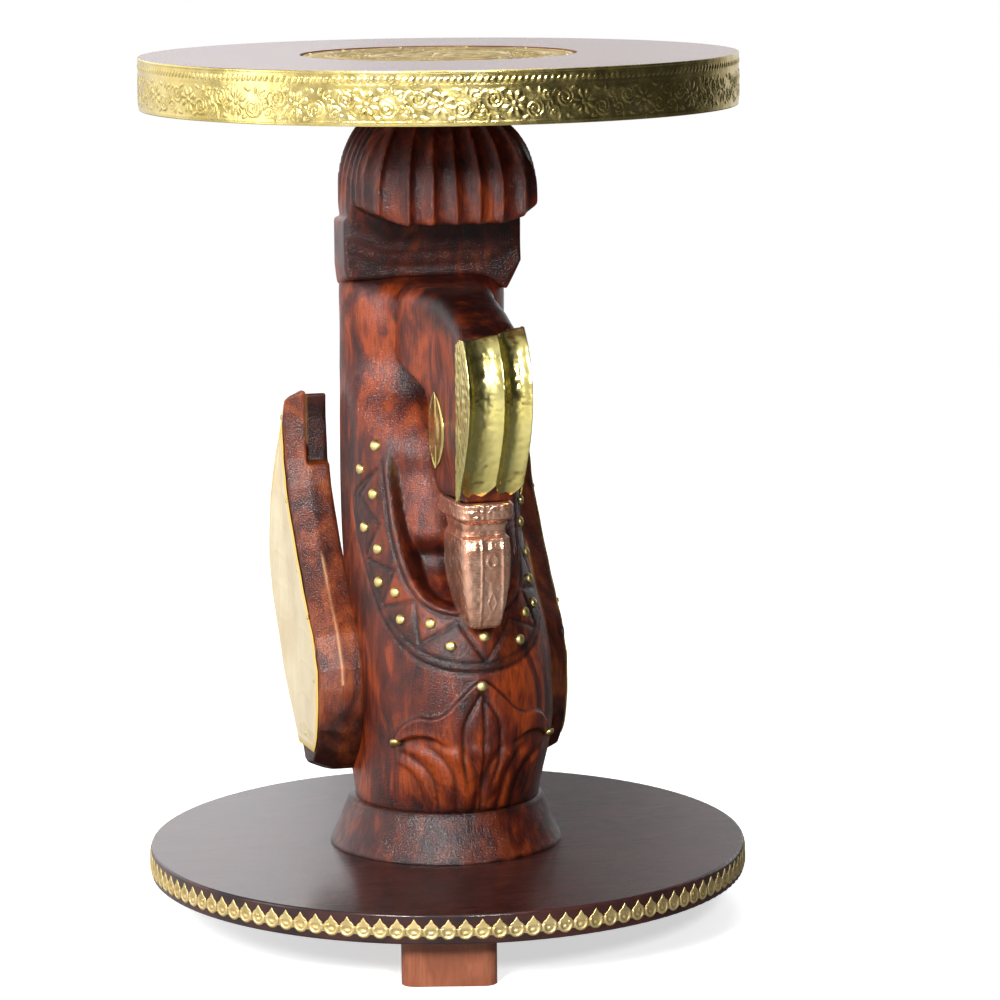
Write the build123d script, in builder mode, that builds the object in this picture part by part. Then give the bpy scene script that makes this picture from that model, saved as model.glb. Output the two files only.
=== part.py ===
from build123d import *
import os
from math import cos, radians, sin, tan

# Small round side table: a carved and varnished bird column between a brass-banded top
# and a round base on three block feet.
# Millimetres. Origin on the floor under the table's axis, +Z up, the bird faces -Y.

os.makedirs("parts", exist_ok=True)

# ---------------------------------------------------------------- driving dimensions
table_height = 457.2
top_radius = 155.0
top_thickness = 26.6
band_sheet = 0.8
band_seam_angle = -137.0

medallion_radius = 70.5
medallion_sheet = 1.5
medallion_gap = 1.0

base_radius = 158.2
base_thickness = 15.2
lace_sheet = 0.8
lace_height = 10.8
lace_bottom_gap = 2.4

foot_height = 27.0
foot_width = 48.0
foot_length = 90.0
foot_reach = 138.0
front_foot_angle = -107.0
foot_corner = 7.0

plinth_height = 24.8
plinth_foot_radius = 62.0
plinth_neck_radius = 51.5

tail_bottom = 340.0
cap_bottom = 372.0
cap_half_width = 47.5
back_face = 36.0
slab_front = 14.7

head_half_width = 17.5
head_back = -25.0
neck_half_width = 25.0
crest_sheet = 1.2
eye_height = 40.0
eye_width = 22.0
eye_sheet = 1.0
eye_centre = (-37.5, 267.0)

wing_inner = 45.0
wing_thickness = 24.0
wing_sheet = 1.2
wing_bevel_angle = 22.0

copper_sheet = 0.8
beak_tip = 168.0
beak_ring_bottom = 223.0
beak_ring_top = 234.0

stud_radius = 2.6
stud_pin_radius = 0.8
stud_pin_length = 7.0
stud_centre_y = 5.0
tack_head_radius = 1.3
tack_pin_radius = 0.6

screw_radius = 2.2
screw_head_radius = 4.4
dowel_radius = 5.0

# ---------------------------------------------------------------- worked out from them
top_underside = table_height - top_thickness
recess_floor = table_height - medallion_sheet
base_underside = foot_height
base_face = base_underside + base_thickness
body_bottom = base_face + plinth_height
wing_face = wing_inner + wing_thickness
wing_plate_inset = wing_thickness / 2 * tan(radians(wing_bevel_angle)) + 1.0


def rounded_section(height, width, front, back, corner):
    """A rounded rectangle at one height, drawn from its front and back faces."""
    with BuildSketch(Plane.XY.offset(height), mode=Mode.PRIVATE) as section:
        with Locations((0, (front + back) / 2)):
            RectangleRounded(width, back - front, corner)
    return section.sketch


def loft_sections(rows):
    """Loft through rounded sections, each row as rounded_section takes it."""
    loft([rounded_section(*row) for row in rows])


def countersunk_screw(length):
    """A wood screw with its head's flat face at the origin and its point along -Z."""
    head = screw_head_radius - screw_radius
    with BuildPart(mode=Mode.PRIVATE) as screw:
        with BuildSketch(Plane.XZ):
            with BuildLine():
                Polyline(
                    (0, 0),
                    (screw_head_radius, 0),
                    (screw_radius, -head),
                    (screw_radius, 4 - length),
                    (0, -length),
                    close=True,
                )
            make_face()
        revolve(axis=Axis.Z)
    return screw.part


def domed_pin(head_radius, head_height, pin_radius, pin_length):
    """A round-headed nail: the head's underside at the origin, the dome along +Z."""
    dome = dome_radius(head_radius, head_height)
    with BuildPart(mode=Mode.PRIVATE) as pin:
        with BuildSketch(Plane.XZ):
            with BuildLine():
                Line((0, head_height), (0, -pin_length))
                Line((0, -pin_length), (pin_radius, -pin_length + 1.5))
                Line((pin_radius, -pin_length + 1.5), (pin_radius, 0))
                Line((pin_radius, 0), (head_radius, 0))
                RadiusArc((head_radius, 0), (0, head_height), -dome)
            make_face()
        revolve(axis=Axis.Z)
    return pin.part


def dome_radius(half_width, rise):
    """The radius of the sphere that a dome of this half width and rise is cut from."""
    return (half_width**2 + rise**2) / (2 * rise)


def facing(point, direction):
    """A plane at the point whose +Z looks along the direction."""
    return Plane(origin=point, z_dir=direction)


def write(piece, name):
    piece.part.label = name
    export_step(piece.part, f"parts/{name}.step")


# ---------------------------------------------------------------- hidden fasteners
# Screws that hold the top to the column, their heads under the medallion.
top_screw_length = 48.0
with BuildPart() as top_screws:
    with PolarLocations(22, 3, start_angle=90):
        with Locations((0, 0, recess_floor)):
            add(countersunk_screw(top_screw_length))

# Screws from under the base, through the plinth, into the foot of the column.
base_screw_length = 68.0
with BuildPart() as base_screws:
    with PolarLocations(26, 3, start_angle=30):
        with Locations(Location((0, 0, base_underside), (180, 0, 0))):
            add(countersunk_screw(base_screw_length))

# Two screws hold each foot, sunk into the foot's underside.
foot_screw_length = 34.0
foot_screw_sink = 4.0
foot_angles = {
    "foot_front": front_foot_angle,
    "foot_right": front_foot_angle + 120,
    "foot_left": front_foot_angle - 120,
}
with BuildPart() as foot_screws:
    for angle in foot_angles.values():
        for reach in (foot_reach - 66, foot_reach - 26):
            place = (reach * cos(radians(angle)), reach * sin(radians(angle)), foot_screw_sink)
            with Locations(Location(place, (180, 0, 0))):
                add(countersunk_screw(foot_screw_length))

# Dowels between the tail block and the column, and between the neck and the column.
with BuildPart() as tail_dowels:
    with Locations((-22, 25, tail_bottom), (22, 25, tail_bottom)):
        Cylinder(dowel_radius, 40)

neck_joint_face = -2.0
with BuildPart() as neck_dowels:
    with Locations(Plane.XZ):
        with Locations((-11, 316, -neck_joint_face), (11, 316, -neck_joint_face)):
            Cylinder(dowel_radius, 36)

# ---------------------------------------------------------------- top
# The band's ends overlap at one seam, where a row of tacks holds them.
with BuildPart() as band_tacks:
    outward = (cos(radians(band_seam_angle)), sin(radians(band_seam_angle)), 0)
    for share in (0.12, 0.37, 0.63, 0.88):
        at = (
            outward[0] * (top_radius - 0.4),
            outward[1] * (top_radius - 0.4),
            top_underside + share * top_thickness,
        )
        with Locations(facing(at, outward)):
            add(domed_pin(tack_head_radius, 0.4, tack_pin_radius, 8))

with BuildPart() as medallion_tacks:
    with PolarLocations(medallion_radius - 2.5, 12):
        with Locations((0, 0, table_height - 0.5)):
            add(domed_pin(tack_head_radius, 0.5, tack_pin_radius, 8))

with BuildPart() as top_medallion:
    with BuildSketch(Plane.XY.offset(recess_floor)):
        Circle(medallion_radius)
    extrude(amount=medallion_sheet)
    add(medallion_tacks.part, mode=Mode.SUBTRACT)

with BuildPart() as top_edge_band:
    with BuildSketch(Plane.XY.offset(top_underside)):
        Circle(top_radius)
        Circle(top_radius - band_sheet, mode=Mode.SUBTRACT)
    extrude(amount=top_thickness)
    add(band_tacks.part, mode=Mode.SUBTRACT)

with BuildPart() as table_top:
    with BuildSketch(Plane.XY.offset(top_underside)):
        Circle(top_radius - band_sheet)
    extrude(amount=top_thickness)
    with BuildSketch(Plane.XY.offset(recess_floor)):
        Circle(medallion_radius + medallion_gap)
    extrude(amount=medallion_sheet, mode=Mode.SUBTRACT)
    for fasteners in (top_screws, band_tacks, medallion_tacks):
        add(fasteners.part, mode=Mode.SUBTRACT)

# ---------------------------------------------------------------- tail block
# The fluted cap overhangs a plain slab that stands on the column's back half.
flute_radius = 4.2
with BuildPart() as tail_block:
    loft_sections([
        (cap_bottom, 2 * cap_half_width - 3, -33.0, back_face, 14),
        (cap_bottom + 14, 2 * cap_half_width, -35.5, back_face, 16),
        (cap_bottom + 38, 2 * cap_half_width - 3, -32.0, back_face, 18),
        (top_underside, 2 * cap_half_width - 14, -21.0, back_face - 4, 20),
    ])
    with BuildSketch(Plane.XY.offset(cap_bottom)):
        for step in range(-3, 4):
            with Locations((step * 12.4, -36.0 - flute_radius * 0.55)):
                Circle(flute_radius)
        for side in (-1, 1):
            for step in range(5):
                with Locations((side * (cap_half_width + flute_radius * 0.6), -14 + step * 9.5)):
                    Circle(flute_radius)
    extrude(amount=top_underside - cap_bottom, mode=Mode.SUBTRACT)
    with BuildSketch(Plane.XY.offset(tail_bottom)):
        with Locations((0, (slab_front + back_face) / 2)):
            RectangleRounded(2 * cap_half_width, back_face - slab_front, 2.5)
    extrude(amount=cap_bottom - tail_bottom + 4)
    for fasteners in (top_screws, tail_dowels):
        add(fasteners.part, mode=Mode.SUBTRACT)

# ---------------------------------------------------------------- carved column
# Heights with width, front face, back face and corner radius of the rounded section.
with BuildPart() as carved_column:
    loft_sections([
        (body_bottom, 99.5, -49.5, 42.0, 44),
        (92, 104.0, -58.0, 40.0, 46),
        (116, 107.0, -62.5, 38.0, 46),
        (145, 105.0, -60.0, 37.0, 44),
        (177, 100.0, -47.0, 36.0, 38),
        (205, 95.0, -33.0, 36.0, 32),
        (250, 94.0, -17.0, 36.0, 24),
        (292, 93.0, neck_joint_face, 36.0, 17),
    ])
    add(rounded_section(292, 93.0, neck_joint_face, 36.0, 17))
    extrude(amount=tail_bottom - 292)
    # The hollow between the throat and the breast, open to the front.
    with BuildSketch(Plane.XZ.offset(8)):
        with BuildLine():
            Line((-22, 297), (-22, 202))
            ThreePointArc((-22, 202), (0, 177), (22, 202))
            Line((22, 202), (22, 297))
            Line((22, 297), (-22, 297))
        make_face()
    extrude(amount=80, mode=Mode.SUBTRACT)
    # A flat seat for the neck block.
    with BuildSketch(Plane.XZ.offset(-neck_joint_face)):
        with Locations((0, 320)):
            Rectangle(120, 60)
    extrude(amount=40, mode=Mode.SUBTRACT)

# ---------------------------------------------------------------- neck and head
with BuildPart() as beak_shape:
    loft_sections([
        (beak_tip, 12, -71, -55, 2.5),
        (178, 16, -74, -50, 3.5),
        (190, 20, -76, -42, 4.5),
        (205, 22, -77, -36.5, 5),
        (beak_ring_bottom, 21, -76, -37.5, 5),
    ])

with BuildPart() as beak_core_shape:
    loft_sections([
        (beak_tip + copper_sheet, 10.4, -70.2, -55.8, 1.7),
        (178, 14.4, -73.2, -50.8, 2.7),
        (190, 18.4, -75.2, -42.8, 3.7),
        (205, 20.4, -76.2, -37.3, 4.2),
        (beak_ring_bottom, 19.4, -75.2, -38.3, 4.2),
    ])

with BuildPart() as beak_sheath:
    add(beak_shape.part)
    add(beak_core_shape.part, mode=Mode.SUBTRACT)

ring_height = beak_ring_top - beak_ring_bottom
ring_centre = -56.75
ring_width = 27.0
ring_depth = 44.0
core_at_ring = (17.0, 33.0)
with BuildPart() as beak_ring:
    with BuildSketch(Plane.XY.offset(beak_ring_bottom)):
        with Locations((0, ring_centre)):
            RectangleRounded(ring_width, ring_depth, 5)
            RectangleRounded(*core_at_ring, 4, mode=Mode.SUBTRACT)
    extrude(amount=ring_height)
    ring_rim = beak_ring.faces().sort_by(Axis.Z)[0].outer_wire().edges()
    chamfer(ring_rim, 1.6)

# The crest's face seen from the side: (Y, Z) from the brow down to the beak ring.
crest_face = [(-86, 323), (-95.5, 305), (-98, 291), (-96, 274), (-89, 257), (-76, 237)]
crest_edge = [(-64.5, 237), (-71, 257), (-74.5, 275), (-76, 291), (-74, 305), (-67, 325)]


def crest_block(front_shift, half_width):
    """The brow's solid, its face moved back by front_shift, between two side planes."""
    outline = [(y + front_shift, z) for y, z in crest_face] + crest_edge
    with BuildPart(mode=Mode.PRIVATE) as block:
        with BuildSketch(Plane.YZ.offset(-half_width)):
            with BuildLine():
                Polyline(*outline, close=True)
            make_face()
        extrude(amount=2 * half_width)
    return block.part


with BuildPart() as crest_plate:
    add(crest_block(0, head_half_width))
    add(crest_block(crest_sheet, head_half_width - crest_sheet), mode=Mode.SUBTRACT)

eye_plates = {}
for name, side in (("left_eye_plate", -1), ("right_eye_plate", 1)):
    with BuildPart() as eye_plate:
        y, z = eye_centre
        low = (y, z - eye_height / 2)
        high = (y, z + eye_height / 2)
        with BuildSketch(Plane.YZ.offset(side * head_half_width)):
            with BuildLine():
                ThreePointArc(low, (y - eye_width / 2, z), high)
                ThreePointArc(high, (y + eye_width / 2, z), low)
            make_face()
        extrude(amount=side * eye_sheet)
    eye_plates[name] = eye_plate

# Side outline of the arched neck and the head: (Y, Z) over the top and back underneath.
neck_top = [(neck_joint_face, 336), (-30, 336), (-58, 332)]
head_rear = [(-38, beak_ring_top), (head_back, 250), (head_back, 286), (neck_joint_face, 298)]
with BuildPart() as neck_and_head:
    with BuildSketch(Plane.YZ.offset(-head_half_width)):
        with BuildLine():
            Polyline(*neck_top, *crest_face, (-76, beak_ring_top), *head_rear, close=True)
        make_face()
    extrude(amount=2 * head_half_width)
    # The root of the neck spreads to meet the column.
    with BuildSketch(Plane.XZ.offset(-neck_joint_face)):
        with Locations((0, 317)):
            Rectangle(2 * neck_half_width, 36)
    with BuildSketch(Plane.XZ.offset(44)):
        with Locations((0, 314)):
            Rectangle(2 * head_half_width - 1, 32)
    loft()
    add(crest_block(0, head_half_width), mode=Mode.SUBTRACT)
    add(crest_block(crest_sheet, head_half_width - crest_sheet))
    with BuildSketch(Plane.XY.offset(beak_ring_bottom)):
        with Locations((0, ring_centre)):
            RectangleRounded(*core_at_ring, 4)
    extrude(amount=ring_height + 2)
    add(beak_core_shape.part)
    add(neck_dowels.part, mode=Mode.SUBTRACT)

# ---------------------------------------------------------------- wings
# A wing's board seen from the side: (Y, Z) down the front edge and up the rear edge.
wing_outline = [
    (63, 277),
    (61, 240),
    (52, 216),
    (38, 196),
    (22, 174),
    (6, 155),
    (-2, 136),
    (-1, 122),
    (9, 106),
    (28, 82),
    (38, 88),
    (57, 117),
    (76, 146),
    (87, 165),
    (90, 197),
    (80, 240),
    (74, 270),
]
wing_screw_places = [(12, 146), (28, 140)]
wing_screw_length = 42.0

with BuildPart() as wing_screws:
    for side in (-1, 1):
        for y, z in wing_screw_places:
            with Locations(facing((side * wing_face, y, z), (side, 0, 0))):
                add(countersunk_screw(wing_screw_length))

wing_tack_places = [(68, 262), (60, 218), (82, 200), (40, 184), (78, 168)]
wing_tack_places += [(20, 162), (62, 140), (9, 130), (28, 98)]
with BuildPart() as wing_plate_tacks:
    for side in (-1, 1):
        for y, z in wing_tack_places:
            with Locations(facing((side * (wing_face + wing_sheet - 0.4), y, z), (side, 0, 0))):
                add(domed_pin(tack_head_radius, 0.4, tack_pin_radius, 8))

wings = {}
wing_plates = {}
for hand, side in (("left", -1), ("right", 1)):
    flat = Plane(origin=(side * wing_inner, 0, 0), x_dir=(0, 1, 0), z_dir=(side, 0, 0))
    points = [(y, side * z) for y, z in wing_outline]
    with BuildPart() as wing:
        with BuildSketch(flat):
            with BuildLine():
                Polyline(*points, close=True)
            make_face()
        extrude(amount=wing_thickness / 2)
        with BuildSketch(flat.offset(wing_thickness / 2)):
            with BuildLine():
                Polyline(*points, close=True)
            make_face()
        extrude(amount=wing_thickness / 2, taper=wing_bevel_angle)
        for fasteners in (wing_screws, wing_plate_tacks):
            add(fasteners.part, mode=Mode.SUBTRACT)
    wings[hand] = wing
    with BuildPart() as wing_plate:
        with BuildSketch(flat.offset(wing_thickness)):
            with BuildLine():
                Polyline(*points, close=True)
            make_face()
            offset(amount=-wing_plate_inset, kind=Kind.INTERSECTION)
        extrude(amount=wing_sheet)
        add(wing_plate_tacks.part, mode=Mode.SUBTRACT)
    wing_plates[hand] = wing_plate

# ---------------------------------------------------------------- studs on the column
# Places are (turn from the front in degrees, height). The necklace's studs zigzag along it,
# and were set by eye, so its two sides differ.
necklace_left = [
    (-13, 157),
    (-23, 168),
    (-41, 168.5),
    (-46, 182),
    (-60, 186),
    (-62, 203),
    (-76, 213),
    (-69, 231),
    (-82, 243),
    (-71, 256),
]
necklace_right = [
    (24, 157),
    (33, 169.5),
    (46, 172),
    (51, 184),
    (64, 196),
    (64, 212),
    (77, 222),
    (70, 238),
    (82, 249),
]
necklace_places = [(3.4, 161)] + necklace_left + necklace_right
star_places = [(0, 136.5), (-43, 104.5), (43, 104.5)]


def column_surface(origin, direction):
    """The first point of the carved column that a line from the origin meets."""
    hits = carved_column.part.find_intersection_points(Axis(origin, direction))
    start = Vector(*origin)
    return min(hits, key=lambda hit: (hit[0] - start).length)


def seat_studs(places):
    """Dome-headed studs on the column at (turn from the front, height) places."""
    studs = []
    for turn, height in places:
        outward = Vector(sin(radians(turn)), -cos(radians(turn)), 0)
        origin = outward * 150 + Vector(0, stud_centre_y, height)
        point, normal = column_surface(tuple(origin), tuple(outward * -1))
        normal = normal if normal.dot(outward) > 0 else normal * -1
        stud = domed_pin(stud_radius, 1.9, stud_pin_radius, stud_pin_length)
        studs.append(facing(tuple(point), tuple(normal)).location * stud)
    return studs


with BuildPart() as necklace_studs:
    add(seat_studs(necklace_places))

with BuildPart() as star_studs:
    add(seat_studs(star_places))

with BuildPart() as column:
    add(carved_column.part)
    for hand in wings:
        add(wings[hand].part, mode=Mode.SUBTRACT)
    for fasteners in (base_screws, tail_dowels, neck_dowels, wing_screws):
        add(fasteners.part, mode=Mode.SUBTRACT)
    for studs in (necklace_studs, star_studs):
        add(studs.part, mode=Mode.SUBTRACT)

# ---------------------------------------------------------------- plinth, base, feet
with BuildPart() as plinth_ring:
    with BuildSketch(Plane.XZ):
        with BuildLine():
            Polyline(
                (plinth_neck_radius, body_bottom),
                (0, body_bottom),
                (0, base_face),
                (plinth_foot_radius, base_face),
                (plinth_foot_radius, base_face + 3),
            )
            ThreePointArc(
                (plinth_foot_radius, base_face + 3),
                (plinth_neck_radius + 4.2, base_face + 15),
                (plinth_neck_radius, body_bottom),
            )
        make_face()
    revolve(axis=Axis.Z)
    add(base_screws.part, mode=Mode.SUBTRACT)

with BuildPart() as lace_tacks:
    for turn in range(24):
        angle = radians(front_foot_angle + 7.5 + turn * 15)
        outward = (cos(angle), sin(angle), 0)
        at = (
            outward[0] * (base_radius - 0.4),
            outward[1] * (base_radius - 0.4),
            base_underside + lace_bottom_gap + lace_height / 2,
        )
        with Locations(facing(at, outward)):
            add(domed_pin(tack_head_radius, 0.4, tack_pin_radius, 7))

with BuildPart() as base_lace_strip:
    with BuildSketch(Plane.XY.offset(base_underside + lace_bottom_gap)):
        Circle(base_radius)
        Circle(base_radius - lace_sheet, mode=Mode.SUBTRACT)
    extrude(amount=lace_height)
    add(lace_tacks.part, mode=Mode.SUBTRACT)

with BuildPart() as base_disc:
    with BuildSketch(Plane.XY.offset(base_underside)):
        Circle(base_radius - lace_sheet)
    extrude(amount=base_thickness)
    fillet(base_disc.edges().filter_by(GeomType.CIRCLE), 1.2)
    for fasteners in (base_screws, foot_screws, lace_tacks):
        add(fasteners.part, mode=Mode.SUBTRACT)

for name, angle in foot_angles.items():
    outward = Vector(cos(radians(angle)), sin(radians(angle)), 0)
    front = outward * foot_reach
    with BuildPart() as foot:
        with BuildSketch(Plane(origin=front, x_dir=(-outward.Y, outward.X, 0), z_dir=-outward)):
            with Locations((0, -foot_height / 2)):
                Rectangle(foot_width, foot_height)
        extrude(amount=foot_length)
        ends = foot.edges().filter_by(Axis.Z)
        fillet(ends, foot_corner)
        for sink in range(2):
            reach = foot_reach - 66 + 40 * sink
            with BuildSketch(Plane.XY):
                with Locations((outward.X * reach, outward.Y * reach)):
                    Circle(screw_head_radius)
            extrude(amount=foot_screw_sink, mode=Mode.SUBTRACT)
        add(foot_screws.part, mode=Mode.SUBTRACT)
    write(foot, name)

# ---------------------------------------------------------------- hand out
write(table_top, "table_top")
write(top_edge_band, "top_edge_band")
write(band_tacks, "band_tacks")
write(top_medallion, "top_medallion")
write(medallion_tacks, "medallion_tacks")
write(top_screws, "top_screws")
write(tail_block, "tail_block")
write(tail_dowels, "tail_dowels")
write(column, "carved_column")
write(neck_dowels, "neck_dowels")
write(neck_and_head, "neck_and_head")
write(crest_plate, "crest_plate")
write(beak_ring, "beak_ring")
write(beak_sheath, "beak_sheath")
for name, eye_plate in eye_plates.items():
    write(eye_plate, name)
for hand in wings:
    write(wings[hand], f"{hand}_wing")
    write(wing_plates[hand], f"{hand}_wing_plate")
write(wing_screws, "wing_screws")
write(wing_plate_tacks, "wing_plate_tacks")
write(necklace_studs, "necklace_studs")
write(star_studs, "star_studs")
write(plinth_ring, "plinth_ring")
write(base_screws, "base_screws")
write(base_disc, "base_disc")
write(base_lace_strip, "base_lace_strip")
write(lace_tacks, "lace_tacks")
write(foot_screws, "foot_screws")
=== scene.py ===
import math
from functools import partial, reduce

import bpy
import numpy as np
from mathutils import Matrix, Vector


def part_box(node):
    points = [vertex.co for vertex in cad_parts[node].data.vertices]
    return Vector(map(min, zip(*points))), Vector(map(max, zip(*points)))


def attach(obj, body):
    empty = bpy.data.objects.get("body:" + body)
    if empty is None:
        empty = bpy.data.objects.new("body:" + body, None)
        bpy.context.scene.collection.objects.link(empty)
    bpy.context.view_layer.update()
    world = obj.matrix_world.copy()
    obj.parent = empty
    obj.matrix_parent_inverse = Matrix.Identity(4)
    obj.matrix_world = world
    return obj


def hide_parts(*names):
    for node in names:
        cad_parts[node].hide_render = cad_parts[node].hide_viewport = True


# A carved bird side table. Shapes are worked out in millimetres, in the CAD frame (the bird faces
# -Y, +Z is up), and turned to metres when a mesh is made.
MM = 0.001
SEED = 7

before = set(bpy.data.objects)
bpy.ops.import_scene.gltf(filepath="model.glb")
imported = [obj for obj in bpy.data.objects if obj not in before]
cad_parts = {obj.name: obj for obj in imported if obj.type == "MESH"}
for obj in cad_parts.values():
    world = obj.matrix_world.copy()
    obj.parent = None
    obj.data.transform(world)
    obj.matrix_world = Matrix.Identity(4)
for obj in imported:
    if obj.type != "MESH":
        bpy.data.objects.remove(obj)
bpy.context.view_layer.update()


def node_box(name):
    """Lowest and highest corner of a CAD node, in millimetres."""
    low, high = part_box(name)
    return np.array(low) / MM, np.array(high) / MM


# ------------------------------------------------------------------ sizes from the frame
BAND_LOW, BAND_HIGH = node_box("top_edge_band")
LACE_LOW, LACE_HIGH = node_box("base_lace_strip")
DISC_LOW, DISC_HIGH = node_box("top_medallion")
TAIL_LOW, TAIL_HIGH = node_box("tail_block")
PLINTH_LOW, PLINTH_HIGH = node_box("plinth_ring")
RING_LOW, RING_HIGH = node_box("beak_ring")
COLUMN_LOW = node_box("carved_column")[0]
SHEATH_LOW = node_box("beak_sheath")[0]
WING_PLATE_HIGH = node_box("right_wing_plate")[1]
BAND_HEIGHT = BAND_HIGH[2] - BAND_LOW[2]

# Sizes shared by several pieces.
BACK_FACE = 36.0
NECK_JOINT = -2.0
HEAD_HALF_WIDTH = 17.5
# The head's middle plane is shifted to +X, so it is narrower at -X by twice as much.
HEAD_LEAN = 1.0
NAPE_ROUND = 4.0


# ------------------------------------------------------------------ number helpers
def smoothstep(low, high, value):
    """0 below low, 1 above high, a smooth rise between."""
    t = np.clip((value - low) / (high - low), 0.0, 1.0)
    return t * t * (3.0 - 2.0 * t)


def soft_max(a, b, radius):
    """The larger of two distances, with the edge where they meet rounded."""
    share = np.clip(0.5 + 0.5 * (a - b) / radius, 0.0, 1.0)
    return b + (a - b) * share + radius * share * (1.0 - share)


def soft_min(a, b, radius):
    """The smaller of two distances, with the corner where they meet filled."""
    return -soft_max(-a, -b, radius)


def mix(a, b, share):
    """From a at share 0 to b at share 1."""
    return a + (b - a) * share


def bump(value, centre, width):
    """A smooth bell of height 1."""
    return np.exp(-(((value - centre) / width) ** 2))


def curve(table, column, at):
    """A smooth curve through one column of a table whose first column rises."""
    xs = np.array([row[0] for row in table], float)
    ys = np.array([row[column] for row in table], float)
    slope = np.gradient(ys, xs)
    at = np.clip(at, xs[0], xs[-1])
    i = np.clip(np.searchsorted(xs, at) - 1, 0, len(xs) - 2)
    step = xs[i + 1] - xs[i]
    t = (at - xs[i]) / step
    rise = ys[i + 1] - ys[i]
    a = slope[i] * step - rise
    b = -slope[i + 1] * step + rise
    return (1 - t) * ys[i] + t * ys[i + 1] + t * (1 - t) * ((1 - t) * a + t * b)


def dome(value, reach):
    """A parabola of height 1 at 0, down to 0 at its reach and beyond."""
    return np.clip(1.0 - (value / reach) ** 2, 0.0, 1.0)


def highest(*shapes):
    """The highest of several reliefs at each point."""
    return np.maximum.reduce(np.broadcast_arrays(*shapes))


def polygon_distance(y, z, points):
    """Signed distance to a closed outline in the (Y, Z) plane, negative inside."""
    points = np.array(points, float)
    nearest = np.full(np.broadcast(y, z).shape, 1e9)
    inside = np.zeros(nearest.shape, bool)
    for (ay, az), (by, bz) in zip(points, np.roll(points, -1, axis=0)):
        ey, ez = by - ay, bz - az
        t = np.clip(((y - ay) * ey + (z - az) * ez) / (ey * ey + ez * ez), 0, 1)
        nearest = np.minimum(nearest, np.hypot(y - ay - t * ey, z - az - t * ez))
        if ez != 0:
            crosses = ((az > z) != (bz > z)) & (y < ay + (z - az) * ey / ez)
            inside ^= crosses
    return np.where(inside, -nearest, nearest)


HASH_PRIMES = (73856093, 19349663, 83492791)


def value_noise(x, y, z, seed):
    """Smooth noise from -1 to 1 on a unit lattice, for hand-worked unevenness."""
    x, y, z = np.broadcast_arrays(x, y, z)
    base = [np.floor(v).astype(np.int64) for v in (x, y, z)]
    part = [smoothstep(0.0, 1.0, v - b) for v, b in zip((x, y, z), base)]
    total = np.zeros(x.shape)
    for bits in np.ndindex(2, 2, 2):
        key = sum((b + bit) * prime for b, bit, prime in zip(base, bits, HASH_PRIMES))
        key = (key ^ (seed * 2654435761)) & 0x7FFFFFFF
        key = ((key ^ (key >> 13)) * 1274126177) & 0x7FFFFFFF
        value = ((key ^ (key >> 16)) & 0xFFFF) / 32767.5 - 1.0
        weight = 1.0
        for bit, p in zip(bits, part):
            weight = weight * (p if bit else 1.0 - p)
        total += value * weight
    return total


# ------------------------------------------------------------------ mesh helpers
def add_object(name, data):
    """A new object in the scene."""
    made = bpy.data.objects.new(name, data)
    bpy.context.scene.collection.objects.link(made)
    return made


def add_piece(name, verts, faces, material, node, attributes=None):
    """A mesh object from points in millimetres. It rides on the table and stands for a node."""
    mesh = bpy.data.meshes.new(name)
    if not isinstance(faces, list):
        faces = faces.tolist()
    mesh.from_pydata((np.asarray(verts, float) * MM).tolist(), [], faces)
    for key, values in (attributes or {}).items():
        layer = mesh.attributes.new(key, "FLOAT", "POINT")
        layer.data.foreach_set("value", np.asarray(values, np.float32))
    mesh.update()
    mesh.polygons.foreach_set("use_smooth", np.ones(len(mesh.polygons), bool))
    mesh.materials.append(material)
    piece = add_object(name, mesh)
    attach(piece, "root")
    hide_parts(node)


def carve(field, low, high, cell):
    """The zero surface of field(x, y, z) as quads, by surface nets. Inside is negative."""
    axes = [np.arange(a - 2 * cell, b + 2 * cell, cell) for a, b in zip(low, high)]
    x, y, z = np.meshgrid(*axes, indexing="ij", sparse=True)
    values = np.asarray(field(x, y, z), np.float32)
    inside = values < 0
    cells = tuple(n - 1 for n in values.shape)
    count = np.zeros(cells, np.int8)
    for corner in np.ndindex(2, 2, 2):
        count += inside[tuple(slice(c, c + n) for c, n in zip(corner, cells))]
    active = (count > 0) & (count < 8)
    index = np.full(cells, -1, np.int64)
    index[active] = np.arange(active.sum())
    base = np.argwhere(active)
    total = np.zeros((len(base), 3))
    hits = np.zeros(len(base))
    unit = np.eye(3, dtype=int)
    for axis in range(3):
        for side in np.ndindex(2, 2):
            start = side[0] * unit[(axis + 1) % 3] + side[1] * unit[(axis + 2) % 3]
            a = values[tuple((base + start).T)]
            b = values[tuple((base + start + unit[axis]).T)]
            crossing = (a < 0) != (b < 0)
            t = np.where(crossing, a / np.where(crossing, a - b, 1.0), 0.0)
            total[crossing] += (start + t[:, None] * unit[axis])[crossing]
            hits += crossing
    origin = np.array([axis[0] for axis in axes])
    verts = origin + cell * (base + total / hits[:, None])
    faces = []
    for axis in range(3):
        u, v = unit[(axis + 1) % 3], unit[(axis + 2) % 3]
        first = [slice(1, n) for n in cells]
        second = list(first)
        first[axis] = slice(0, cells[axis])
        second[axis] = slice(1, cells[axis] + 1)
        a, b = inside[tuple(first)], inside[tuple(second)]
        for starts_inside in (True, False):
            edges = np.argwhere((a != b) & (a == starts_inside))
            edges[:, [(axis + 1) % 3, (axis + 2) % 3]] += 1
            corners = [edges - u - v, edges - v, edges, edges - u]
            quad = np.stack([index[tuple(c.T)] for c in corners], axis=1)
            faces.append(quad if starts_inside else quad[:, ::-1])
    return verts, np.vstack(faces)


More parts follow.
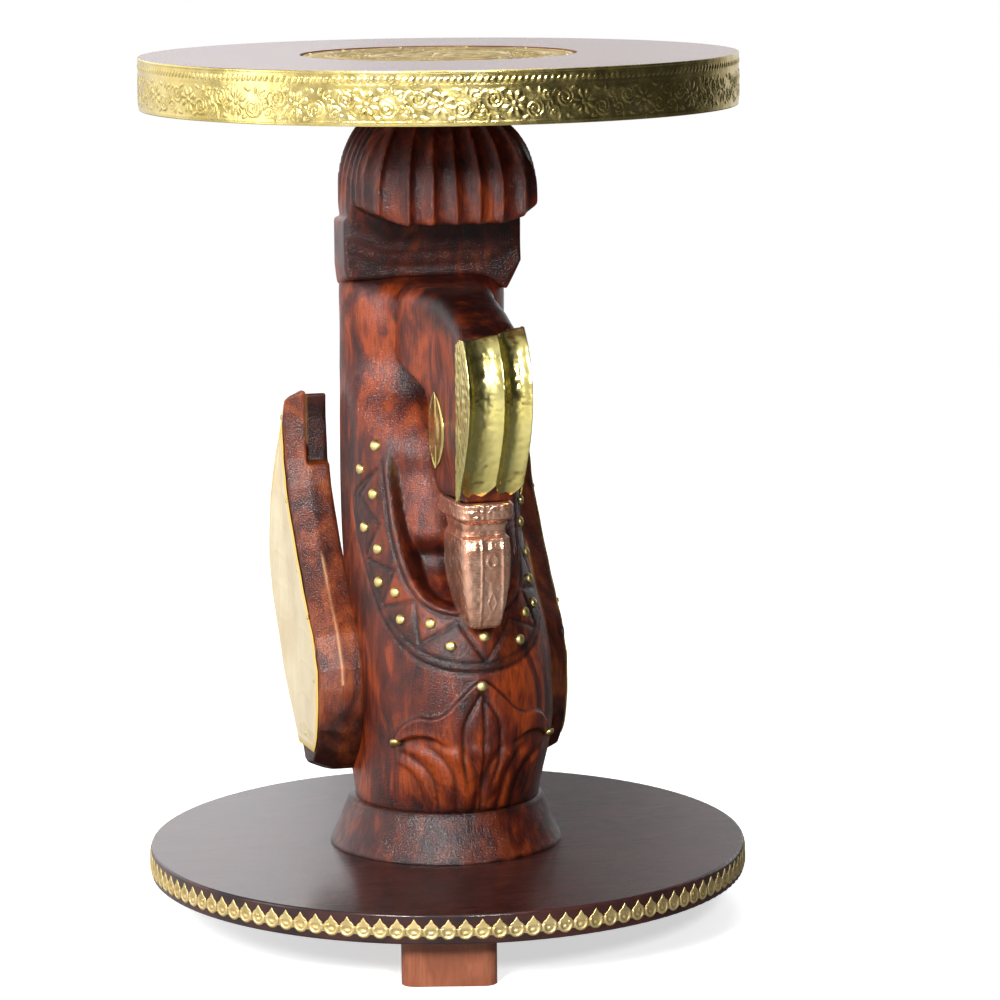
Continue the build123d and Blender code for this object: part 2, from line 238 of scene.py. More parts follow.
def loop_faces(rows, columns, wrap_rows, wrap_columns):
    """Quads over a grid of points stored row by row, closed in either direction if asked."""
    r = np.arange(rows if wrap_rows else rows - 1)
    c = np.arange(columns if wrap_columns else columns - 1)
    r, c = np.meshgrid(r, c, indexing="ij")
    r2, c2 = (r + 1) % rows, (c + 1) % columns
    quads = [r * columns + c, r * columns + c2, r2 * columns + c2, r2 * columns + c]
    return np.stack([q.ravel() for q in quads], axis=1)


def tube_faces(rows, sides):
    """Faces of a tube stored ring by ring, with a flat face at each end."""
    faces = loop_faces(rows, sides, False, True).tolist()
    faces.append(list(reversed(range(sides))))
    faces.append([(rows - 1) * sides + k for k in range(sides)])
    return faces


def turned_over(faces):
    """The same faces seen from their other side."""
    return [face[::-1] for face in faces]


def circle(sides):
    """Evenly spaced angles round the axis, in radians."""
    return 2 * math.pi * np.arange(sides) / sides


def revolved(r, angles, z):
    """Points from radii, angles and heights, as rows of X, Y and Z."""
    return np.stack([r * np.cos(angles), r * np.sin(angles), z], axis=2).reshape(-1, 3)


# ------------------------------------------------------------------ carved column
# Height, left half width, right half width, widest Y, front Y of the outer surface.
COLUMN_PLAN = [
    (60, 49.0, 49.0, 0, -49.0),
    (68, 49.0, 49.0, 0, -49.5),
    (80, 47.5, 50.5, -1, -54.0),
    (95, 46.0, 53.5, -2, -59.0),
    (112, 45.6, 55.5, -2, -62.5),
    (130, 45.6, 55.0, -1, -62.5),
    (150, 45.8, 53.5, 0, -59.5),
    (165, 46.0, 51.0, 2, -55.5),
    (177, 46.2, 48.5, 4, -51.0),
    (190, 46.6, 45.5, 6, -46.5),
    (205, 47.2, 43.0, 8, -41.5),
    (230, 47.5, 42.5, 10, -34.0),
    (250, 47.5, 42.5, 10, -27.0),
    (262, 47.5, 42.5, 11, -20.0),
    (272, 47.5, 42.5, 13, -12.5),
    (282, 47.5, 42.5, 19, -5.0),
    (292, 47.5, 42.5, 26, -1.0),
    (322, 47.2, 42.5, 28, -2.0),
    (331, 47.2, 42.5, 28, 0.5),
    (337, 47.0, 42.5, 29, 5.5),
    (342, 46.5, 42.5, 30, 12.0),
]
# The throat inside the collar: height, half width, front Y.
THROAT_PLAN = [
    (170, 43.0, -47.0),
    (177, 41.0, -45.0),
    (182, 39.5, -38.5),
    (188, 38.5, -31.0),
    (194, 38.0, -25.5),
    (199, 38.0, -23.5),
    (203, 39.0, -25.5),
    (208, 40.5, -28.5),
    (216, 41.0, -28.5),
    (232, 41.5, -26.0),
    (248, 43.5, -22.5),
    (262, 46.0, -17.5),
    (276, 47.5, -9.0),
    (300, 47.5, -1.0),
]
THROAT_CENTRE = 8.0
WRAP_RADIUS = 50.0
WRAP_CENTRE = 5.0
BAND_TOP = 248.0
# Studs on the collar, as turn from the front in degrees and height, from the front up each side.
FRONT_STUD = [(3.4, 161)]
LEFT_STUDS = [
    (-13, 157), (-23, 168), (-41, 168.5), (-46, 182), (-60, 186), (-62, 203), (-76, 213), (-69, 231),
    (-82, 243), (-71, 256),
]
RIGHT_STUDS = [
    (24, 157), (33, 169.5), (46, 172), (51, 184), (64, 196), (64, 212), (77, 222), (70, 238), (82, 249),
]
STAR_STUDS = [(0, 136.5), (-43, 104.5), (43, 104.5)]
ZIGZAG_REACH = 12.5
# Each edge of the collar: its height in front, its rise, the distance round at which it has
# risen that far, and how late it rises. The outer edge ends at COLLAR_END.
INNER_EDGE = (175.0, 71.0, 51.0, 3.1)
OUTER_EDGE = (143.0, 78.0, 81.6, 2.2)
# Lines cut beside them: so far above the outer edge, and so far inside the inner one.
OUTER_LINE = 4.6
INNER_LINE = -3.9
COLLAR_END = OUTER_EDGE[0] + OUTER_EDGE[1]
LOOSE_REACH = 40.0


def unrolled(x, y):
    """Distance round the column from the front centre, as if it were a plain cylinder."""
    return WRAP_RADIUS * np.arctan2(x, WRAP_CENTRE - y)


def collar_edge(edge, w):
    """Height of an edge of the collar, and how steep it is."""
    low, rise, width, power = edge
    share = np.abs(w) / width
    return low + rise * share**power, rise * power / width * share ** (power - 1.0)


def collar_place(w, z):
    """(distance inside the inner edge, distance above the outer edge), in millimetres."""
    inner, inner_slope = collar_edge(INNER_EDGE, w)
    outer, outer_slope = collar_edge(OUTER_EDGE, w)
    past_side = OUTER_EDGE[2] - np.abs(w)
    above = (z - outer) / np.hypot(1.0, outer_slope)
    above = np.where(z > COLLAR_END, np.minimum(past_side, LOOSE_REACH), above)
    return (z - inner) / np.hypot(1.0, inner_slope), above


def collar_studs():
    """The collar's studs as rows of w and z, up the left side to the front and up the right."""
    turns, heights = np.array(LEFT_STUDS[::-1] + FRONT_STUD + RIGHT_STUDS, float).T
    return WRAP_RADIUS * np.radians(turns), heights


def zigzag_line():
    """Corners of the collar's zigzag cut: each stud sits opposite a corner, across the collar."""
    w, z = collar_studs()
    along_w, along_z = np.gradient(w), np.gradient(z)
    length = np.hypot(along_w, along_z)
    corners = []
    for i in range(1, len(w) - 1):
        across_w, across_z = -along_z[i] / length[i], along_w[i] / length[i]
        middle_w, middle_z = 0.5 * (w[i - 1] + w[i + 1]), 0.5 * (z[i - 1] + z[i + 1])
        offset = (w[i] - middle_w) * across_w + (z[i] - middle_z) * across_z
        reach = -ZIGZAG_REACH if offset > 0 else ZIGZAG_REACH
        corners.append((w[i] + reach * across_w, z[i] + reach * across_z))
    return corners


ZIGZAG = zigzag_line()


def zigzag(w, z):
    """Signed distance to the collar's zigzag cut, negative on the side of the outer edge."""
    below = [(ZIGZAG[-1][0] + 60, 200.0), (60, 60.0), (-60, 60.0), (ZIGZAG[0][0] - 60, 200.0)]
    return polygon_distance(w, z, ZIGZAG + below)


# The star's arms: distance round from the front, and height of their upper and lower edges.
ARM_TOP = [
    (0, 140), (5, 135), (10, 128), (14, 122.5), (18, 119.8), (26, 119), (33, 114), (39, 106), (60, 70),
]
ARM_LOW = [(0, 104), (14, 106), (20, 109.5), (28, 109), (34, 106), (40, 103), (60, 96)]
FOLD_CENTRE = (46.0, 71.0)
FOLD_PITCH = 8.5


def star_relief(w, z):
    """Relief of the star on the belly: its arms, its double leaf and the folds under them."""
    a = np.abs(w)
    # Upper edge of one arm, from the top stud out to the side stud, and its lower edge.
    top_edge = curve(ARM_TOP, 1, a)
    low_edge = curve(ARM_LOW, 1, a)
    under = mix(1.0, smoothstep(-1.5, 1.0, z - low_edge), smoothstep(11, 17, a))
    arm = smoothstep(-1.0, 1.2, top_edge - z) * under
    rim = bump(top_edge - z, 0.4, 1.0) + 0.7 * bump(z - low_edge, 0.8, 1.2) * smoothstep(16.0, 20.0, a)
    rim = rim * smoothstep(42.0, 37.0, a)
    # Folds hang straight near the middle and curl outwards under the arms: rings of even pitch
    # round a point at the foot, far out.
    across = np.maximum(FOLD_CENTRE[0] - a, 0.0) ** 3
    rho = (across + np.maximum(0.98 * (z - FOLD_CENTRE[1]), 0.0) ** 3) ** (1 / 3)
    fold = np.abs(np.mod((rho - 23.5) / FOLD_PITCH + 0.5, 1.0) - 0.5) * 2.0
    room = smoothstep(0.0, 3.0, low_edge - 1.0 - z) * smoothstep(40.0, 32.0, a)
    room = mix(1.0, room, smoothstep(9.0, 14.0, a))
    room = room * smoothstep(20.5, 23.0, rho) * smoothstep(108.0, 100.0, z)
    folds = room * (1.0 - fold**1.5)
    # The narrow double leaf that hangs from the top stud.
    leaf_half = 7.0 * smoothstep(134.0, 112.0, z) ** 0.7
    leaf_half = leaf_half * (1.0 - 0.35 * smoothstep(100.0, 78.0, z)) + 0.3
    leaf_edge = bump(a, leaf_half, 0.8) * smoothstep(136.0, 130.0, z) * smoothstep(74.0, 90.0, z)
    leaf_mid = bump(w, 0.6, 0.8) * smoothstep(134.0, 126.0, z) * smoothstep(74.0, 84.0, z)
    return arm, rim, folds, leaf_edge, leaf_mid


def front_share(y):
    """1 on the carved front of the column, 0 on its plain back part."""
    return smoothstep(14.0, 6.0, y)


def column_solid(x, y, z):
    """The column before its carving, and the recessed throat's own surface."""
    left, right = curve(COLUMN_PLAN, 1, z), curve(COLUMN_PLAN, 2, z)
    widest, front = curve(COLUMN_PLAN, 3, z), curve(COLUMN_PLAN, 4, z)
    half = np.where(x < 0, left, right)
    reach = widest - front
    forward = np.maximum(widest - y, 0.0)
    shell = (np.hypot(x / half, forward / reach) - 1.0) * np.minimum(half, reach)
    back = BACK_FACE + 6.0 * smoothstep(105.0, 62.0, z)
    outer = soft_max(shell, y - back, 7.0 + 40.0 * smoothstep(96.0, 66.0, z))
    throat_half, throat_front = curve(THROAT_PLAN, 1, z), curve(THROAT_PLAN, 2, z)
    throat_reach = THROAT_CENTRE - throat_front
    throat_forward = np.maximum(THROAT_CENTRE - y, 0.0)
    throat = np.hypot(x / throat_half, throat_forward / throat_reach) - 1.0
    throat = throat * np.minimum(throat_half, throat_reach)
    # Wood left round the neck's root, so that the neck grows out of the column.
    root_half = 14.0 + 9.0 * smoothstep(300.0, 328.0, z)
    root = soft_max(np.abs(x + 1.0) - root_half, np.abs(z - 317.0) - 15.0, 7.0)
    outer = soft_min(outer, np.maximum(root, np.abs(y - 6.0) - 15.0), 9.0)
    return outer, np.maximum(throat, outer)


def column_field(x, y, z):
    """The carved column: outer surface, recessed throat, collar and star."""
    outer, throat = column_solid(x, y, z)
    w = unrolled(x, y)
    inside, above = collar_place(w, z)
    on_front = front_share(y)
    share = smoothstep(0.0, 2.6, inside) * (1.0 - smoothstep(240.0, 262.0, z)) * on_front
    surface = mix(outer, throat, share)
    under_top = smoothstep(BAND_TOP + 3.0, BAND_TOP - 3.0, z) * on_front
    in_band = smoothstep(0.4, -0.6, inside) * smoothstep(-0.6, 0.4, above) * under_top
    lip = bump(inside, -1.5, 1.2) * smoothstep(252.0, 244.0, z) * on_front
    cut = 0.9 * bump(above, 0.0, 0.8) * under_top
    cut += 0.6 * bump(above, OUTER_LINE, 0.7) * under_top
    cut += 0.8 * bump(inside, INNER_LINE, 0.8) * under_top
    cut += 0.7 * bump(inside, 1.2, 1.1) * smoothstep(250.0, 235.0, z) * on_front
    zigzag_room = smoothstep(3.0, 4.0, -inside) * smoothstep(3.8, 4.8, above)
    cut += 0.9 * bump(zigzag(w, z), 0.0, 0.8) * in_band * zigzag_room
    surface = surface - 0.9 * lip + cut
    belly = smoothstep(141.0, 138.0, z) * smoothstep(66.0, 70.0, z) * on_front
    arm, rim, folds, leaf_edge, leaf_mid = star_relief(w, z)
    star = 2.0 * arm * smoothstep(46.0, 40.0, np.abs(w)) + 0.6 * rim + 1.6 * folds
    star -= 1.3 * leaf_edge + leaf_mid
    surface = surface - belly * star
    surface = surface + 0.35 * value_noise(x / 17.0, y / 17.0, z / 26.0, SEED)
    return np.maximum(surface, np.maximum(COLUMN_LOW[2] - z, z - (TAIL_LOW[2] + 0.5)))


def column_stain_and_shade(verts):
    """How dark the column is made: stain in the cuts and the collar's fields; painted shade in the throat's
    recess, under the star's arms, in the hollow and crease by the neck and under the slab; darker towards
    the foot.
    """
    x, y, z = verts.T
    w = unrolled(x, y)
    inside, above = collar_place(w, z)
    on_front = front_share(y) * smoothstep(BAND_TOP + 4, BAND_TOP - 2, z)
    in_band = smoothstep(0.5, -0.5, inside) * smoothstep(-0.5, 0.5, above) * on_front
    line = zigzag(w, z)
    stain_and_shade = in_band * (0.35 + 0.4 * smoothstep(0.5, -0.5, line))
    stain_and_shade += 0.8 * bump(line, 0.0, 1.0) * in_band
    lines = bump(above, 0.0, 1.1) + bump(above, OUTER_LINE, 0.9) + bump(inside, INNER_LINE, 1.0)
    stain_and_shade += 0.8 * lines * on_front
    # Painted shade where the throat's recess runs in under its overhang; stain in the cut just inside the
    # collar.
    shaded_recess = smoothstep(0.5, 4.0, inside) * on_front
    stain_and_shade += 0.85 * shaded_recess * bump(z, 200.0, 6.0) + 0.8 * bump(inside, 1.2, 1.6) * on_front
    folds, leaf_edge, leaf_mid = star_relief(w, z)[2:]
    around = np.abs(w)
    belly = smoothstep(141.0, 137.0, z) * front_share(y)
    between_folds = bump(folds, 0.05, 0.25) * smoothstep(106, 98, z) * smoothstep(34.0, 26.0, around)
    stain_and_shade += belly * (0.75 * between_folds + 0.9 * leaf_edge + 0.8 * leaf_mid)
    arm_shade = bump(z - curve(ARM_LOW, 1, around), -1.5, 1.8) * smoothstep(16, 20, around)
    arm_shade += bump(z - curve(ARM_TOP, 1, around), 0.8, 1.0)
    stain_and_shade += 0.7 * belly * arm_shade * smoothstep(44, 38, around)
    # The throat's shaded hollow under the neck, and the crease beside the neck, both with painted shade.
    hollow = smoothstep(270.0, 286.0, z) * smoothstep(302.0, 296.0, z)
    stain_and_shade += 0.95 * hollow * smoothstep(25.0, 18.0, np.abs(x + 2))
    shaded_crease = bump(np.abs(x + 1) - 25.0, 0.0, 2.0) * smoothstep(294, 300, z)
    stain_and_shade += 0.7 * shaded_crease * smoothstep(332, 322, z) * (y < 0)
    # Painted shade on the column's top, under the slab.
    stain_and_shade += 0.8 * smoothstep(333.0, 339.0, z)
    # Darker towards the foot.
    stain_and_shade += 0.7 * smoothstep(76.0, 66.0, z)
    return np.clip(stain_and_shade, 0.0, 1.0)


# ------------------------------------------------------------------ neck and head
# Side outline (Y, Z): over the neck, down the face, under the beak's root, up the nape.
HEAD_OUTLINE = [
    (4, 338), (-20, 338), (-42, 336.5), (-61, 331.5), (-74, 325.5), (-80.5, 319.5), (-87, 307),
    (-91.2, 291), (-89.2, 274), (-82.6, 257), (-76, 244), (-73.5, 234), (-38, 234), (-31, 242),
    (-25.5, 256), (-24.5, 272), (-25, 286), (-18, 292), (-8, 296), (4, 298),
]


def head_field(x, y, z):
    """The arched neck, wide where it joins the column, and the narrow head."""
    side = polygon_distance(y[0, :, :], z[0, :, :], HEAD_OUTLINE)[None, :, :]
    x = x - HEAD_LEAN * smoothstep(-10.0, -34.0, y)
    half = HEAD_HALF_WIDTH - HEAD_LEAN + 8.4 * smoothstep(-44.0, -6.0, y) * smoothstep(274.0, 294.0, z)
    half = half - 2.3 * smoothstep(262.0, 236.0, z) * smoothstep(-30.0, -60.0, y)
    half = half - 0.9 * bump(z, 300.0, 10.0) * bump(y, -52.0, 16.0)
    surface = soft_max(side, np.abs(x) - half, 4.0 + 6.0 * smoothstep(305.0, 325.0, z))
    surface = surface + 0.3 * value_noise(x / 15.0, y / 15.0, z / 24.0, SEED + 1)
    return np.maximum(surface, y - NECK_JOINT - 3.0)


# ------------------------------------------------------------------ tail block
# How wide the cap is at each height, as a share of its widest.
CAP_SCALE = [
    (366, 0.955), (372, 0.975), (378, 0.995), (385, 1.0), (393, 0.99), (400, 0.96), (407, 0.91),
    (413, 0.845), (419, 0.755), (425, 0.64), (432, 0.5),
]
CAP_HALF_WIDTH = 47.3
CAP_HALF_DEPTH = 36.0
SLAB_FRONT = 12.0
SLAB_HALF_WIDTH = 48.2
SLAB_LOW = 340.0
SLAB_HIGH = 372.0
FRONT_PITCH = 12.6
SIDE_PITCH = 8.6


def flute(position, pitch):
    """A row of scooped channels with sharp ridges between them: 0 on a ridge, 1 in a scoop."""
    t = np.mod(position / pitch, 1.0) * 2.0 - 1.0
    return 1.0 - np.abs(t) ** 2.4


def cap_field(x, y, z):
    """The fluted pillow of the tail."""
    scale = curve(CAP_SCALE, 1, z)
    u = np.abs(x) / (CAP_HALF_WIDTH * scale)
    v = np.abs(y) / (CAP_HALF_DEPTH * np.where(y < 0, scale, 1.0))
    power = 6.0 + 9.0 * smoothstep(-8.0, 12.0, y) - 3.4 * smoothstep(8.0, -20.0, x) * (y < 0)
    radius = (u**power + v**power) ** (1 / power)
    cap = (radius - 1.0) * CAP_HALF_DEPTH * scale
    # The flutes turn from the front's to the side's sooner at the bowed left corner.
    frontness = v**power / (u**power + v**power + 1e-9)
    bowed = smoothstep(0.0, -20.0, x)
    facing_share = smoothstep(0.3 - 0.27 * bowed, 0.7 - 0.5 * bowed, frontness) * (y < 0)
    wander = 0.8 * value_noise(x / 14.0, y / 14.0, z / 40.0, SEED + 2)
    front_flute = flute(x / scale + 2.0 + wander, FRONT_PITCH)
    side_flute = flute(y + 3.5 + 0.5 * wander, SIDE_PITCH)
    side_depth = 1.7 * smoothstep(364.0, 384.0, z - 6.0 * smoothstep(8.0, 14.0, y))
    depth = mix(side_depth * side_flute, 2.8 * front_flute, facing_share)
    depth = depth * smoothstep(432.0, 418.0, z) * (y < BACK_FACE - 3.0)
    lip = 371.0 + 8.0 * smoothstep(26.0, 48.0, np.abs(x)) + 0.5 * front_flute
    bottom = lip - 30.0 * smoothstep(SLAB_FRONT - 4.0, SLAB_FRONT + 2.0, y)
    return soft_max(cap + depth, bottom - z, 3.0)


def slab_field(x, y, z):
    """The plain slab under the pillow's back half, its corners drawn in below."""
    corner_drop = np.maximum(347.0 - z, 0.0)
    half = SLAB_HALF_WIDTH - np.where(x > 0, 0.55, 0.12) * corner_drop
    scoop = 0.4 * bump(z, 356.0, 9.0)
    slab = soft_max(np.abs(x) - half, SLAB_FRONT + scoop - y, 2.0)
    slab = soft_max(slab, y - BACK_FACE, 3.0)
    ledge = SLAB_LOW - 10.0 * smoothstep(24.0, 46.0, x) - 4.0 * smoothstep(16.0, 30.0, y)
    return soft_max(slab, np.maximum(ledge - z, z - SLAB_HIGH), 2.0)


def tail_field(x, y, z):
    """The fluted pillow of the tail over its plain slab."""
    surface = soft_min(cap_field(x, y, z), slab_field(x, y, z), 1.2)
    surface = surface + 0.3 * value_noise(x / 15.0, y / 15.0, z / 24.0, SEED + 3)
    return np.maximum(surface, z - TAIL_HIGH[2])


def tail_stain_and_shade(verts):
    """Painted shade in the flutes' channels and on the slab under the pillow; darker towards the top."""
    x, y, z = verts.T
    scale = curve(CAP_SCALE, 1, z)
    front = smoothstep(-20.0, -30.0, y)
    channel_shade = flute(x / scale + 2.0, FRONT_PITCH) * front
    slab = smoothstep(374.0, 368.0, z) * smoothstep(SLAB_FRONT + 4, SLAB_FRONT + 1, y)
    return np.clip(0.15 * channel_shade + 0.9 * slab + 0.25 * smoothstep(406, 426, z), 0.0, 1.0)


# ------------------------------------------------------------------ wings
# Outline of a wing board (Y, Z), from its pointed top down the front edge and up the rear.
WING_OUTLINE = [
    (61, 277), (62, 262), (60.5, 240), (56, 226), (49, 213), (38, 196), (22, 174), (7, 155),
    (-1.5, 138), (-2.5, 126), (-2, 114), (0.5, 103), (6, 91), (15, 80), (30, 76.5), (38, 78), (45, 90),
    (58, 113), (75, 144), (86, 163), (90.5, 182), (90, 198), (84, 222), (79, 243), (75, 262),
    (71.5, 272), (68, 277),
]
WING_MIDDLE = 57.0
WING_HALF = 12.0
WING_BEVEL = 0.42
STUB_STEP = 237.4


def wing_field(side):
    """One wing board, its outer half bevelled back from a ridge along the edge."""

    def field(x, y, z):
        """Signed distance to the board."""
        edge = polygon_distance(y[0, :, :], z[0, :, :], WING_OUTLINE)[None, :, :]
        out = side * x - WING_MIDDLE
        bevel = (edge + WING_BEVEL * out) / math.hypot(1.0, WING_BEVEL)
        # The stub's inner half is cut back a little, down to a small step.
        notch = 2.6 * smoothstep(STUB_STEP - 0.8, STUB_STEP + 0.8, z) * smoothstep(1.2, -0.2, out)
        board = soft_max(edge + notch, bevel, 0.5)
        surface = soft_max(board, np.abs(out) - WING_HALF + 0.3, 1.4)
        return surface + 0.3 * value_noise(x / 16.0, y / 16.0, z / 30.0, SEED + 4)

    return field


# ------------------------------------------------------------------ studs and tacks
def field_at(field, points):
    """The field at a list of points, and its outward direction there."""
    step = 0.2
    value = field(*points.T)
    slope = np.stack([field(*(points + step * axis).T) - value for axis in np.eye(3)], axis=1)
    return value, slope / np.linalg.norm(slope, axis=1)[:, None]


def seats_on(field, places):
    """Where studs at (turn, height) places meet the carved surface, and which way they face."""
    degrees, heights = np.array(places, float).T
    turns = np.radians(degrees)
    still = np.zeros(len(places))
    outward = np.stack([np.sin(turns), -np.cos(turns), still], axis=1)
    centre = np.stack([still, still + WRAP_CENTRE, heights], axis=1)
    far, near = still + 90.0, still + 20.0
    for _ in range(22):
        middle = 0.5 * (far + near)
        value, _ = field_at(field, centre + middle[:, None] * outward)
        near, far = np.where(value < 0, middle, near), np.where(value < 0, far, middle)
    points = centre + near[:, None] * outward
    return points, field_at(field, points)[1]


def dome_profile(radius, height, sink):
    """Profile (r, h) of a round nail head with a thin rim, from its edge up to the crown."""
    steps = 7
    rows = [(radius * 0.96, -sink), (radius, 0.1 * height)]
    for i in range(1, steps):
        angle = math.pi / 2 * i / steps
        rows.append((radius * 0.97 * math.cos(angle), height * (0.12 + 0.88 * math.sin(angle))))
    return rows


def add_heads(name, node, points, directions, radius, height, sink=0.2, sides=12):
    """Round nail heads as one piece, each tipped a little out of true."""
    profile = dome_profile(radius, height, sink)
    dome = tube_faces(len(profile), sides)
    verts, faces = [], []
    rng = np.random.default_rng(SEED)
    for point, direction in zip(points, directions):
        helper = np.eye(3)[2 if abs(direction[2]) < 0.9 else 0]
        direction = direction + rng.normal(0.0, 0.04, 3)
        direction /= np.linalg.norm(direction)
        u = np.cross(helper, direction)
        u /= np.linalg.norm(u)
        v = np.cross(direction, u)
        start = len(verts)
        rim = [math.cos(a) * u + math.sin(a) * v for a in circle(sides)]
        verts += [point + r * way + h * direction for r, h in profile for way in rim]
        faces += [[start + k for k in face] for face in dome]
    add_piece(name, verts, faces, STUD, node)


# ------------------------------------------------------------------ embossed ornament
def petals(x, y, count, inner, outer):
    """A ring of teardrop petals round the origin."""
    r = np.hypot(x, y)
    turn = np.mod(np.arctan2(y, x) / (2 * math.pi) * count, 1.0) * 2.0 - 1.0
    middle, half = 0.5 * (inner + outer), 0.5 * (outer - inner)
    length = np.sqrt(dome(r - middle, half))
    return dome(turn, 0.8 * length + 1e-3) * length


def scroll(x, y, reach, pitch, hand):
    """A spiral of raised wire that winds in to a boss at the origin."""
    r = np.hypot(x, y)
    turn = hand * np.arctan2(y, x) / (2 * math.pi)
    wind = np.mod(reach / pitch + turn - r / pitch + 0.5, 1.0) - 0.5
    wire = bump(wind * pitch, 0.0, 0.42 * pitch / 1.9) * smoothstep(reach + 0.5, reach, r)
    return np.maximum(wire * smoothstep(0.8, 1.4, r), dome(r, 0.9))


def drop(x, y, length, width, angle):
    """A comma-shaped drop, fat at the origin and pointed at its far end."""
    c, s = math.cos(angle), math.sin(angle)
    along, across = x * c + y * s, -x * s + y * c
    share = np.clip(along / length, 0.0, 1.0)
    across = across - 0.7 * width * share**2
    half = width * np.sqrt(1.0 - share) * np.sqrt(np.clip(along / width + 1.0, 0.0, 1.0))
    return dome(across, half + 1e-3) * (along > -width) * (along < length)


def stipple(x, y, pitch, seed):
    """Small punched dots at uneven places."""
    return np.clip(value_noise(x / pitch, y / pitch, 0.0, seed), 0.0, 1.0)


def add_strip(name, node, material, angles, outer, back, z, relief):
    """A closed strip round the axis: rows down its outer face, then two rows of its back."""
    inner = np.full((len(angles), 2), back)
    r = np.concatenate([outer, inner], axis=1)
    verts = revolved(r, np.broadcast_to(angles[:, None], r.shape), z)
    relief = np.concatenate([relief, 0 * inner], axis=1).ravel()
    faces = loop_faces(*r.shape, True, True)
    add_piece(name, verts, faces, material, node, {"relief": relief})


# The band's frieze repeats a flower, four scrolls and eight drops, placed from the flower.
BAND_UNITS = 27
BAND_CELL = 2 * math.pi * 155.0 / BAND_UNITS
# Thickness of the sheet, whole and where nothing is raised.
BAND_SHEET = 0.8
BAND_GROUND = 0.28
FLOWER_DEPTH = 16.3
ROPE_DEPTH = 4.4
ROPE_PITCH = 3.3
# U and V of the middle, reach, pitch of the wire, hand.
BAND_SCROLLS = [
    (10.2, -2.6, 4.3, 1.9, 1),
    (-10.2, 2.6, 4.3, 1.9, 1),
    (16.8, 3.6, 3.0, 1.7, -1),
    (-16.4, -3.8, 3.0, 1.7, -1),
]
# U and V of the fat end, angle.
BAND_DROPS = [
    (8.2, 6.4, 2.6),
    (-8.4, -6.3, -0.5),
    (12.4, 5.4, 1.3),
    (-12.6, -5.6, 4.4),
    (4.9, -7.0, 0.2),
    (-5.0, 7.0, 3.3),
    (17.6, -2.2, 1.5),
    (-17.2, 1.2, -1.6),
]


def band_relief(s, t):
    """Embossing of the top's band, 0 to 1: s runs round it, t runs down from its top edge."""
    lip = dome(t - 0.7, 0.8)
    slant = np.mod((s + 0.55 * (t - ROPE_DEPTH)) / ROPE_PITCH, 1.0) * 2.0 - 1.0
    rope = dome(slant, 0.72) * np.sqrt(dome(t - ROPE_DEPTH, 1.35))
    lines = sum(bump(t, at, 0.28) for at in (2.3, 6.6, 7.6, BAND_HEIGHT - 1.6))
    uneven = 0.25 * value_noise(s / 9.0, t / 6.0, 0.0, SEED + 6)
    u = np.mod(s / BAND_CELL + 0.5, 1.0) * BAND_CELL - BAND_CELL / 2 + uneven
    v = FLOWER_DEPTH - t + 0.6 * uneven
    stem = bump(v - 6.2 * np.sin(u * math.pi / 9.0 + 0.3), 0.0, 0.55) * smoothstep(8.0, 9.2, np.abs(u))
    shape = highest(
        0.95 * petals(u, v, 8, 1.7, 6.6),
        dome(np.hypot(u, v), 1.4),
        0.75 * stem * (np.abs(v) < 7.2),
        *(scroll(u - at_u, v - at_v, *form) for at_u, at_v, *form in BAND_SCROLLS),
        *(0.9 * drop(u - at_u, v - at_v, 2.6, 0.95, angle) for at_u, at_v, angle in BAND_DROPS),
    )
    frieze = smoothstep(7.9, 8.5, t) * smoothstep(BAND_HEIGHT - 1.9, BAND_HEIGHT - 2.5, t)
    ground = 0.24 * stipple(s, t, 0.62, SEED + 7)
    upper_dots = 0.16 * stipple(s, t, 0.7, SEED + 8) * smoothstep(2.5, 3.0, t) * smoothstep(6.4, 6.0, t)
    borders = 0.6 * lip + 0.85 * rope + 0.4 * lines + upper_dots
    return borders + frieze * np.maximum(shape, ground)


def build_band():
    """The embossed band round the top: a closed strip whose outer face carries the relief."""
    columns, rows, deepest = 1760, 48, 1.15
    radius, back = BAND_HIGH[0], BAND_HIGH[0] - BAND_SHEET
    angles = circle(columns)
    turn, down = np.meshgrid(angles, np.linspace(0.0, BAND_HEIGHT, rows), indexing="ij")
    lift = np.clip(band_relief(turn * radius, down), 0.0, deepest)
    outer = back + BAND_GROUND + (BAND_SHEET - BAND_GROUND) * lift / deepest
    ends = np.tile([BAND_LOW[2], BAND_HIGH[2]], (columns, 1))
    z = np.concatenate([BAND_HIGH[2] - down, ends], axis=1)
    add_strip("top_band_embossed", "top_edge_band", BRASS, angles, outer, back, z, lift)


LACE_UNITS = 116
LACE_RADIUS = 158.15
LACE_SHEET = 0.8
LACE_GROUND = 0.12
LACE_ROUND = 4.15
LACE_CENTRE = 4.2
LACE_TIP = 10.6


def lace_shape(u, v):
    """Relief of one lace unit, v up from its rounded foot: a thick ring, a boss, a striped top."""
    inside = LACE_ROUND - np.hypot(u, v - LACE_CENTRE)
    rim = bump(inside, 0.95, 0.75) * smoothstep(6.6, 5.2, v)
    boss = dome(np.hypot(u / 1.5, (v - 3.1) / 1.1), 1.0)
    rays = (0.45 + 0.4 * np.cos(u * 6.6)) * smoothstep(5.0, 5.8, v)
    return highest(rim, 0.6 * boss, rays)


